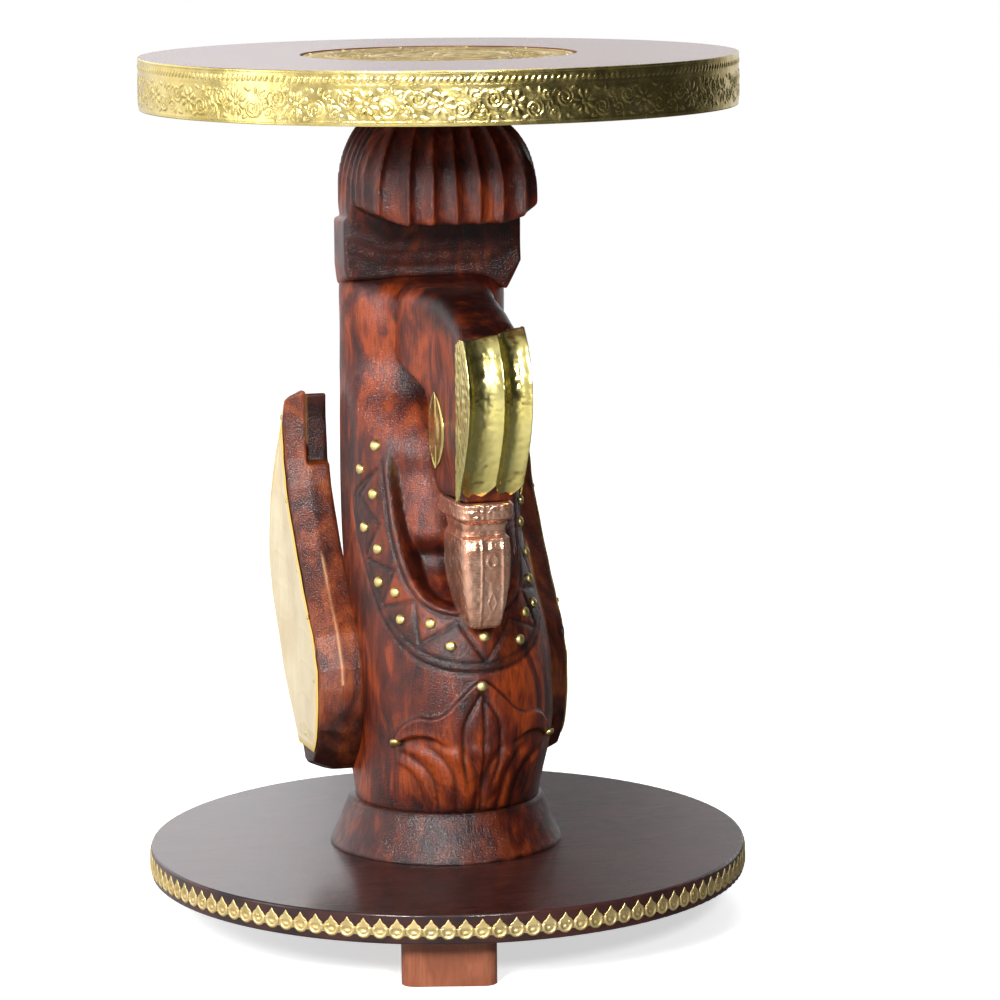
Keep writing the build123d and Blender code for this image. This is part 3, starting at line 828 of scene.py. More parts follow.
def build_lace():
    """The pressed brass lace round the base: a scalloped strip, pointed above, round below."""
    columns, rows = LACE_UNITS * 20, 26
    pitch = 2 * math.pi * LACE_RADIUS / LACE_UNITS
    angles = circle(columns)
    u = np.mod(angles * LACE_RADIUS, pitch) - pitch / 2
    # The strip's own edge follows the units: low between the points, high at them.
    arch = np.sqrt(np.clip(LACE_ROUND**2 - u**2, 0.0, None))
    top = highest(LACE_CENTRE + arch, LACE_TIP - 1.5 * np.abs(u), 5.6)
    bottom = np.minimum(LACE_CENTRE - arch, 1.9)
    share = np.linspace(0.0, 1.0, rows)
    v = top[:, None] + (bottom - top)[:, None] * share
    lift = lace_shape(u[:, None], v) * smoothstep(0.0, 0.05, share) * smoothstep(1.0, 0.95, share)
    lift = np.clip(lift, 0.0, 1.0)
    back = LACE_RADIUS - LACE_SHEET
    outer = back + LACE_GROUND + (LACE_SHEET - LACE_GROUND) * lift
    z = np.concatenate([v, bottom[:, None], top[:, None]], axis=1) + LACE_LOW[2] + 0.15
    z = np.clip(z, LACE_LOW[2], LACE_HIGH[2])
    add_strip("base_lace", "base_lace_strip", GILT, angles, outer, back + 0.01, z, lift)


MEDALLION_PARTS = 14
MEDALLION_RING = 46.3
# Radius and width of the raised lines.
MEDALLION_LINES = [(22.0, 0.6), (35.2, 0.7), (37.2, 0.5), (55.5, 0.6), (57.4, 0.6), (69.0, 0.8)]


def medallion_relief(x, y):
    """Embossing of the disc let into the top, 0 to 1."""
    r = np.hypot(x, y)
    share = np.arctan2(y, x) / (2 * math.pi)
    uneven = 0.3 * value_noise(x / 9.0, y / 9.0, 0.0, SEED + 9)
    x, y = x + uneven, y - uneven
    c, s = math.cos(0.39), math.sin(0.39)
    # U and V of one part of the ring of flowers and scrolls between the two wide rings.
    part = np.mod(share * MEDALLION_PARTS, 1.0) - 0.5
    u, v = part * 2 * math.pi / MEDALLION_PARTS * MEDALLION_RING, r - MEDALLION_RING
    edge = np.abs(u) - math.pi / MEDALLION_PARTS * MEDALLION_RING
    # An outer border of leaning leaves.
    lean = np.mod(share * 60 + (r - 63.0) * 0.09, 1.0) * 2.0 - 1.0
    leaves = dome(lean, 0.75) * dome(r - 63.2, 4.6)
    shape = highest(
        petals(x, y, 8, 4.0, 17.0),
        0.8 * petals(x * c - y * s, x * s + y * c, 8, 12.0, 21.0),
        dome(r, 3.6),
        0.7 * petals(x, y, 16, 23.0, 34.0),
        *(0.8 * bump(r, at, width) for at, width in MEDALLION_LINES),
        0.9 * petals(u, v, 7, 1.4, 5.2),
        dome(np.hypot(u, v), 1.2),
        0.9 * scroll(edge + 0.4, np.sign(u) * (v - 3.2), 4.4, 2.0, 1),
        0.9 * scroll(edge + 2.6, np.sign(u) * (v + 4.4), 3.4, 1.9, -1),
        0.85 * leaves,
        0.16 * stipple(x, y, 0.9, SEED + 10),
    )
    return np.clip(shape, 0.0, 1.0)


def build_medallion():
    """The embossed brass disc in the table's top: a polar sheet with a flat back."""
    radius, low, high = DISC_HIGH[0], DISC_LOW[2], DISC_HIGH[2]
    rings, sides = 128, 720
    angles = circle(sides)
    rr, aa = np.meshgrid(radius * np.linspace(0.006, 1.0, rings), angles, indexing="ij")
    x, y = rr * np.cos(aa), rr * np.sin(aa)
    lift = medallion_relief(x, y) * smoothstep(radius, radius - 0.8, rr)
    crown = 0.25 * value_noise(x / 22.0, y / 22.0, 0.0, SEED + 11)
    z = low + 0.45 + 0.2 * (crown + 0.25) + 0.75 * lift
    z[-1] = low + 0.35
    z = np.vstack([np.minimum(z, high), np.full(sides, low + 0.01)])
    verts = revolved(np.vstack([rr, rr[-1]]), np.vstack([aa, angles]), z)
    faces = turned_over(tube_faces(rings + 1, sides))
    relief = np.concatenate([lift.ravel(), np.zeros(sides)])
    add_piece("top_medallion_embossed", verts, faces, GILT, "top_medallion",
              {"relief": relief})


# ------------------------------------------------------------------ metal on head and wings
def sheet_between(name, outer, inner, wrap, material, node, relief, rim=None):
    """A closed sheet from two grids of points, rows by columns. Wrap closes the columns."""
    rows, columns = outer.shape[:2]
    strip = loop_faces(rows, columns, False, wrap)
    verts = np.vstack([outer.reshape(-1, 3), inner.reshape(-1, 3)])
    count = rows * columns
    top = np.arange(columns if wrap else columns - 1)
    after = (top + 1) % columns
    last = (rows - 1) * columns
    edges = [(after, top), (last + top, last + after)]
    if not wrap:
        side = np.arange(rows - 1) * columns
        below = side + columns
        end = columns - 1
        edges += [(side, below), (below + end, side + end)]
    faces = [strip, strip[:, ::-1] + count]
    faces += [np.stack([a, b, b + count, a + count], axis=1) for a, b in edges]
    attributes = {"relief": np.concatenate([relief.ravel(), 0 * relief.ravel()])}
    if rim is not None:
        attributes["rim"] = np.tile(rim.ravel(), 2)
    add_piece(name, verts, np.vstack(faces), material, node, attributes)


# The crest's face from below up: height, how far forward the wood's face is.
CREST_FACE = [
    (234, -76), (243, -80.5), (257, -88), (274, -94.8), (291, -96.8), (305, -94), (318, -88), (328, -80),
]
CREST_BACK = -72.0
CREST_SHEET = 0.9


def build_crest():
    """The brass crest: two hollow flutes down the face, and a flange back along each side."""
    columns_front, columns_side, rows = 97, 30, 150
    front = np.linspace(-1.0, 1.0, columns_front)
    flank = np.linspace(0.0, 1.0, columns_side)[:-1]
    position = np.concatenate([-2.0 + flank, front, 2.0 - flank[::-1]])
    # Across is 0 at the face's middle and 1 at its corners. Back is 0 at the corners and 1 at
    # the flange's rear edge.
    p, v = np.meshgrid(position, np.linspace(0.0, 1.0, rows))
    across = np.clip(p, -1.0, 1.0)
    back = np.clip(np.abs(p) - 1.0, 0.0, 1.0)
    on_face, on_flange = back <= 0, back > 0
    split = 0.1
    left, right = (across - split) / (1.0 + split) + 0.5, (across - split) / (1.0 - split) - 0.5
    flute_at = 2.0 * np.abs(np.where(across < split, left, right))
    # Each flute ends below in a rounded tongue, and above in a nearly level edge.
    tongue = 236.0 + 7.5 * np.clip(flute_at, 0, 1) ** 2.2
    wave = 1.2 * value_noise(across * 1.7 + 3, 0.0, 0.0, SEED + 12)
    crown = 320.5 + 2.6 * across + wave
    low = mix(tongue, 236.5 - 1.5 * back, smoothstep(0.0, 0.1, back))
    high = crown - 3.0 * smoothstep(0.4, 1.0, back) * on_flange
    z = mix(low, high, v)
    dip = 4.6 * (1.0 - np.clip(flute_at, 0.0, 1.0) ** 2) * on_face
    hammer = 0.14 * value_noise(across * 8, z / 2.3, back * 20, SEED + 13)
    hammer += 0.10 * value_noise(across * 30, z / 9.0, back * 60, SEED + 14) * on_flange
    corner = np.clip(1.0 - (1.0 - np.abs(across)) * 8.0, 0.0, 1.0) ** 2
    y_front = curve(CREST_FACE, 1, z) - 1.0 + dip + 0.9 * corner
    y = mix(y_front, CREST_BACK - 3.0 - (z - 280) * 0.02, back)
    half = HEAD_HALF_WIDTH + 0.9
    x = HEAD_LEAN + (half - HEAD_LEAN - 0.6 * (1.0 - back)) * across
    outer = np.stack([x - np.sign(across) * hammer * on_flange, y - hammer * on_face, z], axis=2)
    corner_pull = 0.5 * (np.abs(across) > 0.97) * on_face
    inward_x = -np.sign(p) * (CREST_SHEET * on_flange + corner_pull)
    inner = outer + np.stack([inward_x, CREST_SHEET * on_face, np.zeros_like(z)], axis=2)
    relief = smoothstep(0.75, 1.0, flute_at) * on_face
    sheet_between("crest_plate_fluted", outer, inner, False, CREST, "crest_plate", relief)


def hand_name(side):
    """Which hand a piece is on, as someone who faces the bird sees it."""
    return "right" if side > 0 else "left"


def build_eye(side):
    """One almond eye plate with an embossed edge, lid line and ball."""
    node = hand_name(side) + "_eye_plate"
    low, high = node_box(node)
    centre_y, centre_z = 0.5 * (low[1] + high[1]) - 1.0, 0.5 * (low[2] + high[2])
    half_y, half_z = 0.5 * (high[1] - low[1]) + 3.0, 0.5 * (high[2] - low[2]) - 0.2
    u, v = np.meshgrid(np.linspace(-1.0, 1.0, 41), np.linspace(-1.0, 1.0, 70))
    # An almond: two arcs that meet in a point above and below.
    reach = half_y * np.clip(1.0 - np.abs(v) ** 2.1, 0.02, 1.0) ** 0.85
    y = centre_y + u * reach
    z = centre_z + half_z * v
    lines = bump(np.abs(u), 0.82, 0.1) + bump(u, 0.0, 0.09)
    ball = dome(np.hypot(u * reach / 6.5, v * half_z / 9.0), 1.0)
    ticks = 0.5 * (np.mod(v * 14.0, 1.0) < 0.3) * (np.abs(u) > 0.55) * (np.abs(u) < 0.72)
    relief = np.clip(highest(0.7 * lines, ball, ticks), 0.0, 1.0)
    thick = high[0] - low[0]
    inner_x = HEAD_HALF_WIDTH + 0.02 - (2.0 * HEAD_LEAN if side < 0 else 0.0)
    # The plate is bent round the nape's soft edge.
    depth = np.clip(-polygon_distance(y, z, HEAD_OUTLINE), 0.0, NAPE_ROUND)
    inner_x = inner_x - (math.sqrt(NAPE_ROUND) - np.sqrt(depth)) ** 2
    x = inner_x + 0.3 + (thick - 0.35) * relief * smoothstep(1.0, 0.93, np.abs(u))
    grids = np.stack([side * x, y, z], axis=2), np.stack([side * inner_x, y, z], axis=2), relief
    outer, inner, relief = (grid[:, ::side] for grid in grids)
    piece = hand_name(side) + "_eye_almond"
    sheet_between(piece, outer, inner, False, CREST, node, relief)


def rounded_section_points(x_half, y_front, y_back, corner, count):
    """Points round a rounded rectangle, anticlockwise from above, from the middle of the back."""
    angle = 2 * math.pi * (np.arange(count) + 0.5) / count
    power = 2.0 / corner
    c, s = np.sin(angle), np.cos(angle)
    r = (np.abs(c) ** power + np.abs(s) ** power) ** (-1.0 / power)
    centre, reach = 0.5 * (y_front + y_back), 0.5 * (y_back - y_front)
    return -c * r * x_half, centre + s * r * reach


def build_ring():
    """The copper ring round the root of the beak, pressed with a sparkle of small facets."""
    count, rows = 220, 22
    low, high = RING_LOW, RING_HIGH
    x, y = rounded_section_points(high[0] + 0.9, low[1] + 0.4, high[1] + 2.6, 0.3, count)
    middle = 0.5 * (low[1] + high[1])
    # From below up: a narrow foot, a full belly, a slightly drawn-in upper edge.
    share = np.linspace(1.0, 0.0, rows)[:, None]
    z = high[2] - (high[2] - low[2]) * share + 0 * x
    grow = np.minimum(1.0, 0.86 + share * 2.4) * (1.0 - 0.16 * smoothstep(0.72, 1.0, share))
    x, y = x * grow, (y - middle) * grow
    dent = value_noise(x / 1.5, (middle + y) / 1.5, z / 1.5, SEED + 15)
    dent = np.round(dent * 2.5) / 2.5
    swell = 1.0 + 0.32 * dent * smoothstep(0.0, 0.1, share) / 20.0
    outer = np.stack([x * swell, middle + y * swell, z], axis=2)
    inner = np.stack([x * 0.8, middle + y * 0.8, z], axis=2)
    relief = np.clip(0.5 + 0.5 * dent, 0, 1)
    sheet_between("beak_ring_pressed", outer, inner, True, COPPER, "beak_ring", relief)


# The beak's sheath from above down: height, half width, front Y, back Y, how square.
BEAK = [
    (223.0, 12.0, -73.5, -39.5, 0.24),
    (221.0, 11.8, -73.4, -39.5, 0.24),
    (219.0, 11.4, -72.8, -40.0, 0.24),
    (216.6, 11.6, -73.0, -40.0, 0.24),
    (215.2, 12.8, -75.4, -38.4, 0.2),
    (210.0, 13.2, -76.6, -37.6, 0.2),
    (200.0, 13.2, -76.8, -38.0, 0.2),
    (190.0, 12.5, -76.2, -40.0, 0.22),
    (180.0, 10.8, -74.8, -43.6, 0.24),
    (173.0, 9.2, -73.0, -47.6, 0.24),
    (169.6, 8.3, -71.8, -50.4, 0.26),
    (168.3, 7.6, -71.0, -52.0, 0.30),
    (168.0, 6.6, -69.6, -54.0, 0.40),
]
COLLAR_FOOT = 214.0
RING_MARK_HEIGHT = 204.0
LEAF_HEIGHT = 182.0
LEAF_REACH = 6.0
# X of the front panel's two folds, and of the marks between them.
PANEL_FOLDS = (-3.2, 8.2)
PANEL_MIDDLE = 2.6


def build_beak():
    """The copper sheath of the beak: folded facets, a hatched edge, a ring mark and a leaf."""
    count, collar_rows, rows = 240, 25, 110
    heights = [row[0] for row in BEAK][::-1]
    collar = np.linspace(BEAK[0][0], COLLAR_FOOT, collar_rows + 1)[:-1]
    z = np.concatenate([collar, np.linspace(COLLAR_FOOT, BEAK[-1][0], rows)])
    outer, relief = [], []
    for height in z:
        half, front, back, square = (
            np.interp(height, heights, [row[k] for row in BEAK][::-1]) for k in (1, 2, 3, 4)
        )
        x, y = rounded_section_points(half, front, back, square, count)
        middle = 0.5 * (front + back)
        facing = smoothstep(0.35, 0.6, (middle - y) / (middle - front))
        below_collar = smoothstep(COLLAR_FOOT + 2.0, COLLAR_FOOT, height)
        fold = sum(bump(x, at, 0.7) for at in PANEL_FOLDS)
        ring_mark = bump(np.hypot(x - PANEL_MIDDLE, (height - RING_MARK_HEIGHT) * 0.8), 2.6, 0.7)
        leaf_half = 2.2 * (1.0 - abs(height - LEAF_HEIGHT) / LEAF_REACH)
        leaf = bump(np.abs(x - PANEL_MIDDLE), leaf_half, 0.5) * (leaf_half > 0.0)
        hatch = bump(x, -6.0, 2.4) * (0.5 + 0.5 * math.sin(height * 4.2))
        lift = facing * (0.8 * fold + 0.3 * ring_mark + 0.4 * leaf + 0.22 * hatch)
        dent = value_noise(x / 2.1, y / 2.1, height / 2.6, SEED + 16)
        swell = 1.0 + ((0.42 * lift - 0.25) * below_collar + 0.16 * dent) / half * 0.8
        outer.append(np.stack([x * swell, middle + (y - middle) * swell, 0 * x + height], axis=1))
        relief.append(np.clip(lift * below_collar, 0, 1))
    outer = np.array(outer)
    outer[..., 1] = np.maximum(outer[..., 1], SHEATH_LOW[1] - 1.0)
    faces = turned_over(tube_faces(len(z), count))
    add_piece("beak_sheath_folded", outer.reshape(-1, 3), faces, COPPER, "beak_sheath",
              {"relief": np.array(relief).ravel()})


def inset_span(outline, inset, z):
    """Front and rear Y of an outline, drawn in by inset, at each height z."""
    y = np.linspace(-10.0, 100.0, 1101)
    spans = []
    for height in z:
        inside = polygon_distance(y, np.full_like(y, height), outline) < -inset
        ys = y[inside]
        spans.append((ys[0], ys[-1]) if len(ys) else (np.nan, np.nan))
    return np.array(spans)


PLATE_REAR = 92.5


def build_wing_plate(side):
    """The thin pale plate on a wing's outer face, its wavy edge cut by hand."""
    node = hand_name(side) + "_wing_plate"
    low, high = node_box(node)
    z = np.linspace(low[2] + 0.6, high[2] - 0.6, 260)
    spans = inset_span(WING_OUTLINE, 5.0, z)
    spans[:, 1] += 5.2 * smoothstep(270.0, 222.0, z)
    good = ~np.isnan(spans[:, 0])
    z, spans = z[good], spans[good]
    ragged = [value_noise(z / 7.0, 0.0, 0.0, SEED + 17), value_noise(z / 9.0, 4.0, 0.0, SEED + 18)]
    spans = spans + np.array([0.7, -0.7]) + 0.7 * np.stack(ragged, axis=1)
    front = np.maximum(spans[:, :1], low[1])
    rear = np.minimum(spans[:, 1:], PLATE_REAR)
    u = np.linspace(0.0, 1.0, 110)[None, :]
    y = front + (rear - front) * u
    z = z[:, None] + 0 * u
    edge = np.minimum(np.minimum(y - front, rear - y), np.minimum(z - z[0], z[-1] - z))
    # Feathers: long overlapping scallops pressed along the wing.
    slope = y * 0.35 + z
    feather = np.mod(slope / 17.0 + 0.25 * np.sin(y / 7.5), 1.0)
    quill = np.mod(y / 8.5 + 0.2 * np.sin(slope / 9.0), 1.0)
    press = 0.5 * bump(feather, 0.5, 0.09) + 0.45 * bump(quill, 0.5, 0.07)
    press = press * smoothstep(5.0, 7.0, edge) + 0.8 * bump(edge, 3.6, 0.7)
    wavy = 0.5 + 0.5 * value_noise(y / 16.0, z / 22.0, 0.0, SEED + 19)
    near, depth = min(abs(low[0]), abs(high[0])), high[0] - low[0]
    x = near + 0.4 + (depth - 0.45) * np.clip(0.45 * press + 0.5 * wavy, 0.0, 1.0)
    x = x - 0.35 * smoothstep(1.2, 0.0, edge)
    # The rear half stands off the board, between the wing's foot and its shoulder.
    lifted = smoothstep(0.45, 1.0, u) * smoothstep(low[2], low[2] + 40.0, z) * smoothstep(262.0, 222.0, z)
    x = x + 2.2 * lifted
    outer = np.stack([side * x, y, z], axis=2)
    inner = np.stack([0 * x + side * (near + 0.01), y, z], axis=2)
    grids = outer, inner, np.clip(press, 0, 1), smoothstep(2.6, 1.4, edge)
    outer, inner, relief, rim = (grid[:, ::side] for grid in grids)
    sheet_between(node + "_pressed", outer, inner, False, PALE, node, relief, rim)


# ------------------------------------------------------------------ materials
class Nodes:
    """A node tree, with short ways to add and join nodes."""

    def __init__(self, tree):
        """Take over a tree."""
        self.tree = tree

    def add(self, kind, inputs=None, **settings):
        """A new node, its settings and its inputs."""
        made = self.tree.nodes.new("ShaderNode" + kind)
        for key, value in settings.items():
            setattr(made, key, value)
        for key, value in (inputs or {}).items():
            self.join(value, made.inputs[key])
        return made

    def join(self, value, socket):
        """Link a socket to another, or set it to a value."""
        if isinstance(value, bpy.types.NodeSocket):
            self.tree.links.new(value, socket)
        else:
            socket.default_value = value

    def math(self, operation, a, b):
        """Arithmetic on two values."""
        return self.add("Math", {0: a, 1: b}, operation=operation).outputs[0]

    def product(self, *values):
        """All the values multiplied."""
        return reduce(partial(self.math, "MULTIPLY"), values)

    def total(self, *values):
        """All the values added."""
        return reduce(partial(self.math, "ADD"), values)

    def level(self, value, low, high, out_low=0.0, out_high=1.0, ease="LINEAR"):
        """The value's range low to high, moved to another range and held inside it."""
        inputs = {"Value": value, "From Min": low, "From Max": high, "To Min": out_low, "To Max": out_high}
        return self.add("MapRange", inputs, interpolation_type=ease).outputs["Result"]


class Shader(Nodes):
    """A material's node tree and its surface."""

    def __init__(self, name):
        """Make the material."""
        self.material = bpy.data.materials.new(name)
        self.material.use_nodes = True
        super().__init__(self.material.node_tree)
        self.surface = self.tree.nodes["Principled BSDF"]

    def set(self, **inputs):
        """Inputs of the surface, written with _ for a space."""
        for key, value in inputs.items():
            self.join(value, self.surface.inputs[key.replace("_", " ")])

    def place(self, scale):
        """The point on the object, scaled unevenly so that noise on it stretches."""
        point = self.add("TexCoord").outputs["Object"]
        return self.add("Mapping", {"Vector": point, "Scale": scale}).outputs["Vector"]

    def noise(self, scale, stretch=(1, 1, 1), detail=3.0, rough=0.5, twist=0.0):
        """Noise of 0 to 1 on the object."""
        inputs = {"Scale": scale, "Detail": detail, "Roughness": rough, "Distortion": twist}
        inputs["Vector"] = self.place(stretch)
        return self.add("TexNoise", inputs).outputs["Fac"]

    def ramp(self, value, stops):
        """The colour for a value, from (value, colour) stops."""
        made = self.add("ValToRGB", {"Fac": value})
        elements = made.color_ramp.elements
        while len(elements) < len(stops):
            elements.new(0.5)
        for element, (at, colour) in zip(elements, stops):
            element.position = at
            element.color = (*colour, 1.0)
        return made.outputs["Color"]

    def blend(self, share, a, b):
        """Colour a at share 0, colour b at share 1."""
        made = self.add("Mix", {0: share}, data_type="RGBA")
        colours = [socket for socket in made.inputs if socket.type == "RGBA"]
        for colour, socket in zip((a, b), colours):
            self.join(colour if isinstance(colour, bpy.types.NodeSocket) else (*colour, 1.0), socket)
        return next(socket for socket in made.outputs if socket.type == "RGBA")

    def attribute(self, name):
        """A number stored on the mesh."""
        return self.add("Attribute", attribute_name=name).outputs["Fac"]

    def edges(self, low, high, out_high):
        """Where the surface bends: outwards if high is over low, else inwards."""
        bend = self.add("NewGeometry").outputs["Pointiness"]
        return self.level(bend, low, high, 0.0, out_high)

    def bump(self, height, distance, strength=1.0, under=None):
        """A surface normal that follows a height, over another normal."""
        inputs = {"Height": height, "Distance": distance, "Strength": strength}
        if under is not None:
            inputs["Normal"] = under
        return self.add("Bump", inputs).outputs["Normal"]


def darker(colour, share):
    """A colour scaled down, or up to white at most."""
    return [min(1.0, c * share) for c in colour]


RUBBED_WOOD = (0.75, 0.36, 0.16)


def varnished_wood(name, dark, middle, light, grain, stained_and_shaded, peel, coat, coat_rough):
    """Sheesham under thick varnish: streaky grain, patches of stain, an orange-peel gloss; painted shade in
    concave creases, and the mesh's stain and painted shade in blotches.
    """
    shader = Shader(name)
    along = np.arange(3) == grain
    stretch = np.where(along, 0.09, 1.0)
    patch = shader.noise(22.0, detail=2.0, twist=0.6)
    streak = shader.noise(210.0, stretch, detail=4.0, rough=0.6, twist=0.35)
    fine = shader.noise(900.0, stretch, detail=2.0)
    blot = shader.noise(75.0, 1.0 - 0.6 * along, detail=3.0, rough=0.55, twist=1.2)
    shares = ((patch, 0.36), (streak, 0.16), (blot, 0.48))
    tone = shader.total(*(shader.product(value, share) for value, share in shares))
    colour = shader.ramp(tone, [(0.40, dark), (0.5, middle), (0.60, light)])
    colour = shader.blend(shader.level(fine, 0.36, 0.5, 0.35, 0.0), colour, darker(dark, 0.3))
    colour = shader.blend(shader.edges(0.52, 0.58, 0.45), colour, darker(light, 1.3))
    # Concave creases darkened: painted shade.
    colour = shader.blend(shader.edges(0.485, 0.43, 0.8), colour, darker(dark, 0.35))
    if stained_and_shaded:
        # The mesh's stain and painted shade, broken into blotches, then its rubbed wear.
        blotch = shader.level(shader.noise(120.0, detail=3.0), 0.3, 0.7, 0.55, 1.15)
        share = shader.math("MINIMUM", shader.product(shader.attribute("stain_and_shade"), blotch), 1.0)
        colour = shader.blend(share, colour, darker(dark, 0.42))
        colour = shader.blend(shader.product(shader.attribute("wear"), 0.7), colour, RUBBED_WOOD)
    peel_noise = shader.noise(1250.0, detail=2.0)
    normal = shader.bump(streak, 0.0003, 0.35, shader.bump(peel_noise, 0.0004, peel * 0.5))
    shader.set(Base_Color=colour, Roughness=0.5, Normal=normal, Specular_IOR_Level=0.15)
    shader.set(Coat_Weight=coat, Coat_Roughness=coat_rough, Coat_IOR=1.5)
    shader.set(Coat_Normal=shader.bump(peel_noise, 0.0006, peel * 0.85))
    return shader.material


def pressed_metal(name, pit, low, high, rough, texture=900.0, depth=0.25, metallic=1.0):
    """Thin embossed sheet: bright on the raised work, toned in the hollows, faintly uneven."""
    shader = Shader(name)
    tone = shader.noise(60.0, detail=4.0, rough=0.6)
    colour = shader.ramp(tone, [(0.3, low), (0.7, high)])
    colour = shader.blend(shader.edges(0.495, 0.45, 0.75), colour, pit)
    rub = shader.noise(texture, detail=3.0, rough=0.7)
    smear = shader.level(shader.noise(130.0, detail=3.0), 0.3, 0.75, rough * 0.7, rough * 1.5)
    normal = shader.bump(rub, 0.00035, depth)
    normal = shader.bump(shader.noise(90.0, detail=1.0), 0.0015, 0.25, normal)
    shader.set(Base_Color=colour, Metallic=metallic, Roughness=smear, Normal=normal)
    return shader.material


def pale_plate(name):
    """The wings' pale metal, almost white, with a gilt line along its cut edge."""
    shader = Shader(name)
    tone = shader.noise(35.0, detail=3.0)
    colour = shader.ramp(tone, [(0.3, (0.62, 0.51, 0.33)), (0.6, (0.71, 0.62, 0.43))])
    colour = shader.blend(shader.product(shader.attribute("rim"), 0.9), colour, (0.72, 0.50, 0.10))
    raised = shader.level(shader.attribute("relief"), 0.3, 1.0, 0.0, 0.35)
    colour = shader.blend(raised, colour, (0.78, 0.62, 0.33))
    normal = shader.bump(shader.noise(500.0, detail=3.0), 0.0003, 0.3)
    shader.set(Base_Color=colour, Metallic=0.1, Roughness=0.5, Normal=normal, Specular_IOR_Level=0.25)
    return shader.material


def screw_metal(name):
    """Zinc-plated steel."""
    shader = Shader(name)
    tone = shader.noise(400.0, detail=3.0)
    colour = shader.ramp(tone, [(0.3, (0.32, 0.32, 0.31)), (0.7, (0.55, 0.55, 0.53))])
    shader.set(Base_Color=colour, Metallic=1.0, Roughness=0.35)
    shader.set(Normal=shader.bump(shader.noise(1500.0), 0.0002, 0.3))
    return shader.material


def raw_wood(name):
    """Bare sheesham where it was never varnished."""
    shader = Shader(name)
    streak = shader.noise(240.0, (1, 1, 0.08), detail=4.0, rough=0.6)
    colour = shader.ramp(streak, [(0.3, (0.22, 0.10, 0.045)), (0.7, (0.42, 0.22, 0.11))])
    shader.set(Base_Color=colour, Roughness=0.8, Normal=shader.bump(streak, 0.0004, 0.5))
    return shader.material


# Dark, middle and light wood, axis of the grain, whether the mesh's stain, painted shade and wear are read,
# how strong the varnish's orange peel is, coat weight, coat roughness.
CARVED = varnished_wood(
    "carved_wood", (0.024, 0.003, 0.002), (0.10, 0.012, 0.003), (0.28, 0.044, 0.006), 2, True, 0.9, 0.7, 0.1
)
WING = varnished_wood(
    "wing_wood", (0.04, 0.006, 0.0025), (0.14, 0.023, 0.005), (0.28, 0.060, 0.011), 2, True, 0.8, 0.7, 0.24
)
TOP = varnished_wood(
    "top_wood", (0.055, 0.012, 0.007), (0.11, 0.026, 0.014), (0.19, 0.05, 0.025), 0, False, 0.12, 0.9, 0.09
)
BASE = varnished_wood(
    "base_wood", (0.010, 0.0025, 0.002), (0.024, 0.005, 0.0035), (0.045, 0.010, 0.007), 0, False,
    0.12, 0.9, 0.16,
)
FEET = varnished_wood(
    "foot_wood", (0.09, 0.022, 0.010), (0.20, 0.056, 0.026), (0.30, 0.10, 0.05), 2, False, 0.25, 0.5, 0.09
)
# Hollows, low and high tone, roughness, scale and strength of the rubbed texture, metallic share.
BRASS = pressed_metal("pressed_brass", (0.24, 0.16, 0.03), (0.72, 0.56, 0.17), (0.86, 0.72, 0.30), 0.22)
CREST = pressed_metal(
    "crest_brass", (0.26, 0.20, 0.03), (0.70, 0.60, 0.18), (0.84, 0.76, 0.30), 0.2, 500.0, 0.2
)
STUD = pressed_metal(
    "stud_brass", (0.35, 0.22, 0.04), (0.74, 0.58, 0.20), (0.86, 0.72, 0.32), 0.34, 1500.0, 0.35
)
COPPER = pressed_metal(
    "pressed_copper", (0.34, 0.09, 0.04), (0.66, 0.31, 0.19), (0.88, 0.54, 0.39), 0.22, 900.0, 0.45, 0.88
)
GILT = pressed_metal(
    "gilt_lace", (0.16, 0.10, 0.03), (0.68, 0.51, 0.21), (0.84, 0.68, 0.34), 0.42, 900.0, 0.3, 0.85
)
PALE = pale_plate("pale_plate")
STEEL = screw_metal("screw_steel")
BARE = raw_wood("bare_wood")


# ------------------------------------------------------------------ wood pieces
def build_column():
    """The carved column with its collar and star."""
    low, high = (-59.0, -67.0, COLUMN_LOW[2] - 1), (59.0, 46.0, TAIL_LOW[2] + 2)
    verts, faces = carve(column_field, low, high, cell=1.08)
    add_piece("column_carved", verts, faces, CARVED, "carved_column",
              {"stain_and_shade": column_stain_and_shade(verts)})


def build_head():
    """The neck and head."""
    verts, faces = carve(head_field, (-27, -100, 231), (27, 4, 340), cell=0.9)
    x, y, z = verts.T
    # Painted shade on the neck's top under the tail, heavier to the right, and in the hollow behind the
    # head's lower back; darker at the head's lower end.
    stain_and_shade = smoothstep(310.0, 321.0, z + 0.2 * x) * smoothstep(-14.0, -40.0, y)
    stain_and_shade += 0.5 * smoothstep(245.0, 236.0, z) + 0.5 * smoothstep(294.0, 288.0, z) * smoothstep(-30, -20, y)
    add_piece("neck_and_head_carved", verts, faces, CARVED, "neck_and_head",
              {"stain_and_shade": np.clip(stain_and_shade, 0, 1)})


def build_tail():
    """The fluted tail block."""
    low, high = (-51.0, -39.0, TAIL_LOW[2] - 14), (51.0, 39.0, TAIL_HIGH[2] + 1)
    verts, faces = carve(tail_field, low, high, cell=0.95)
    add_piece("tail_block_carved", verts, faces, CARVED, "tail_block",
              {"stain_and_shade": tail_stain_and_shade(verts)})


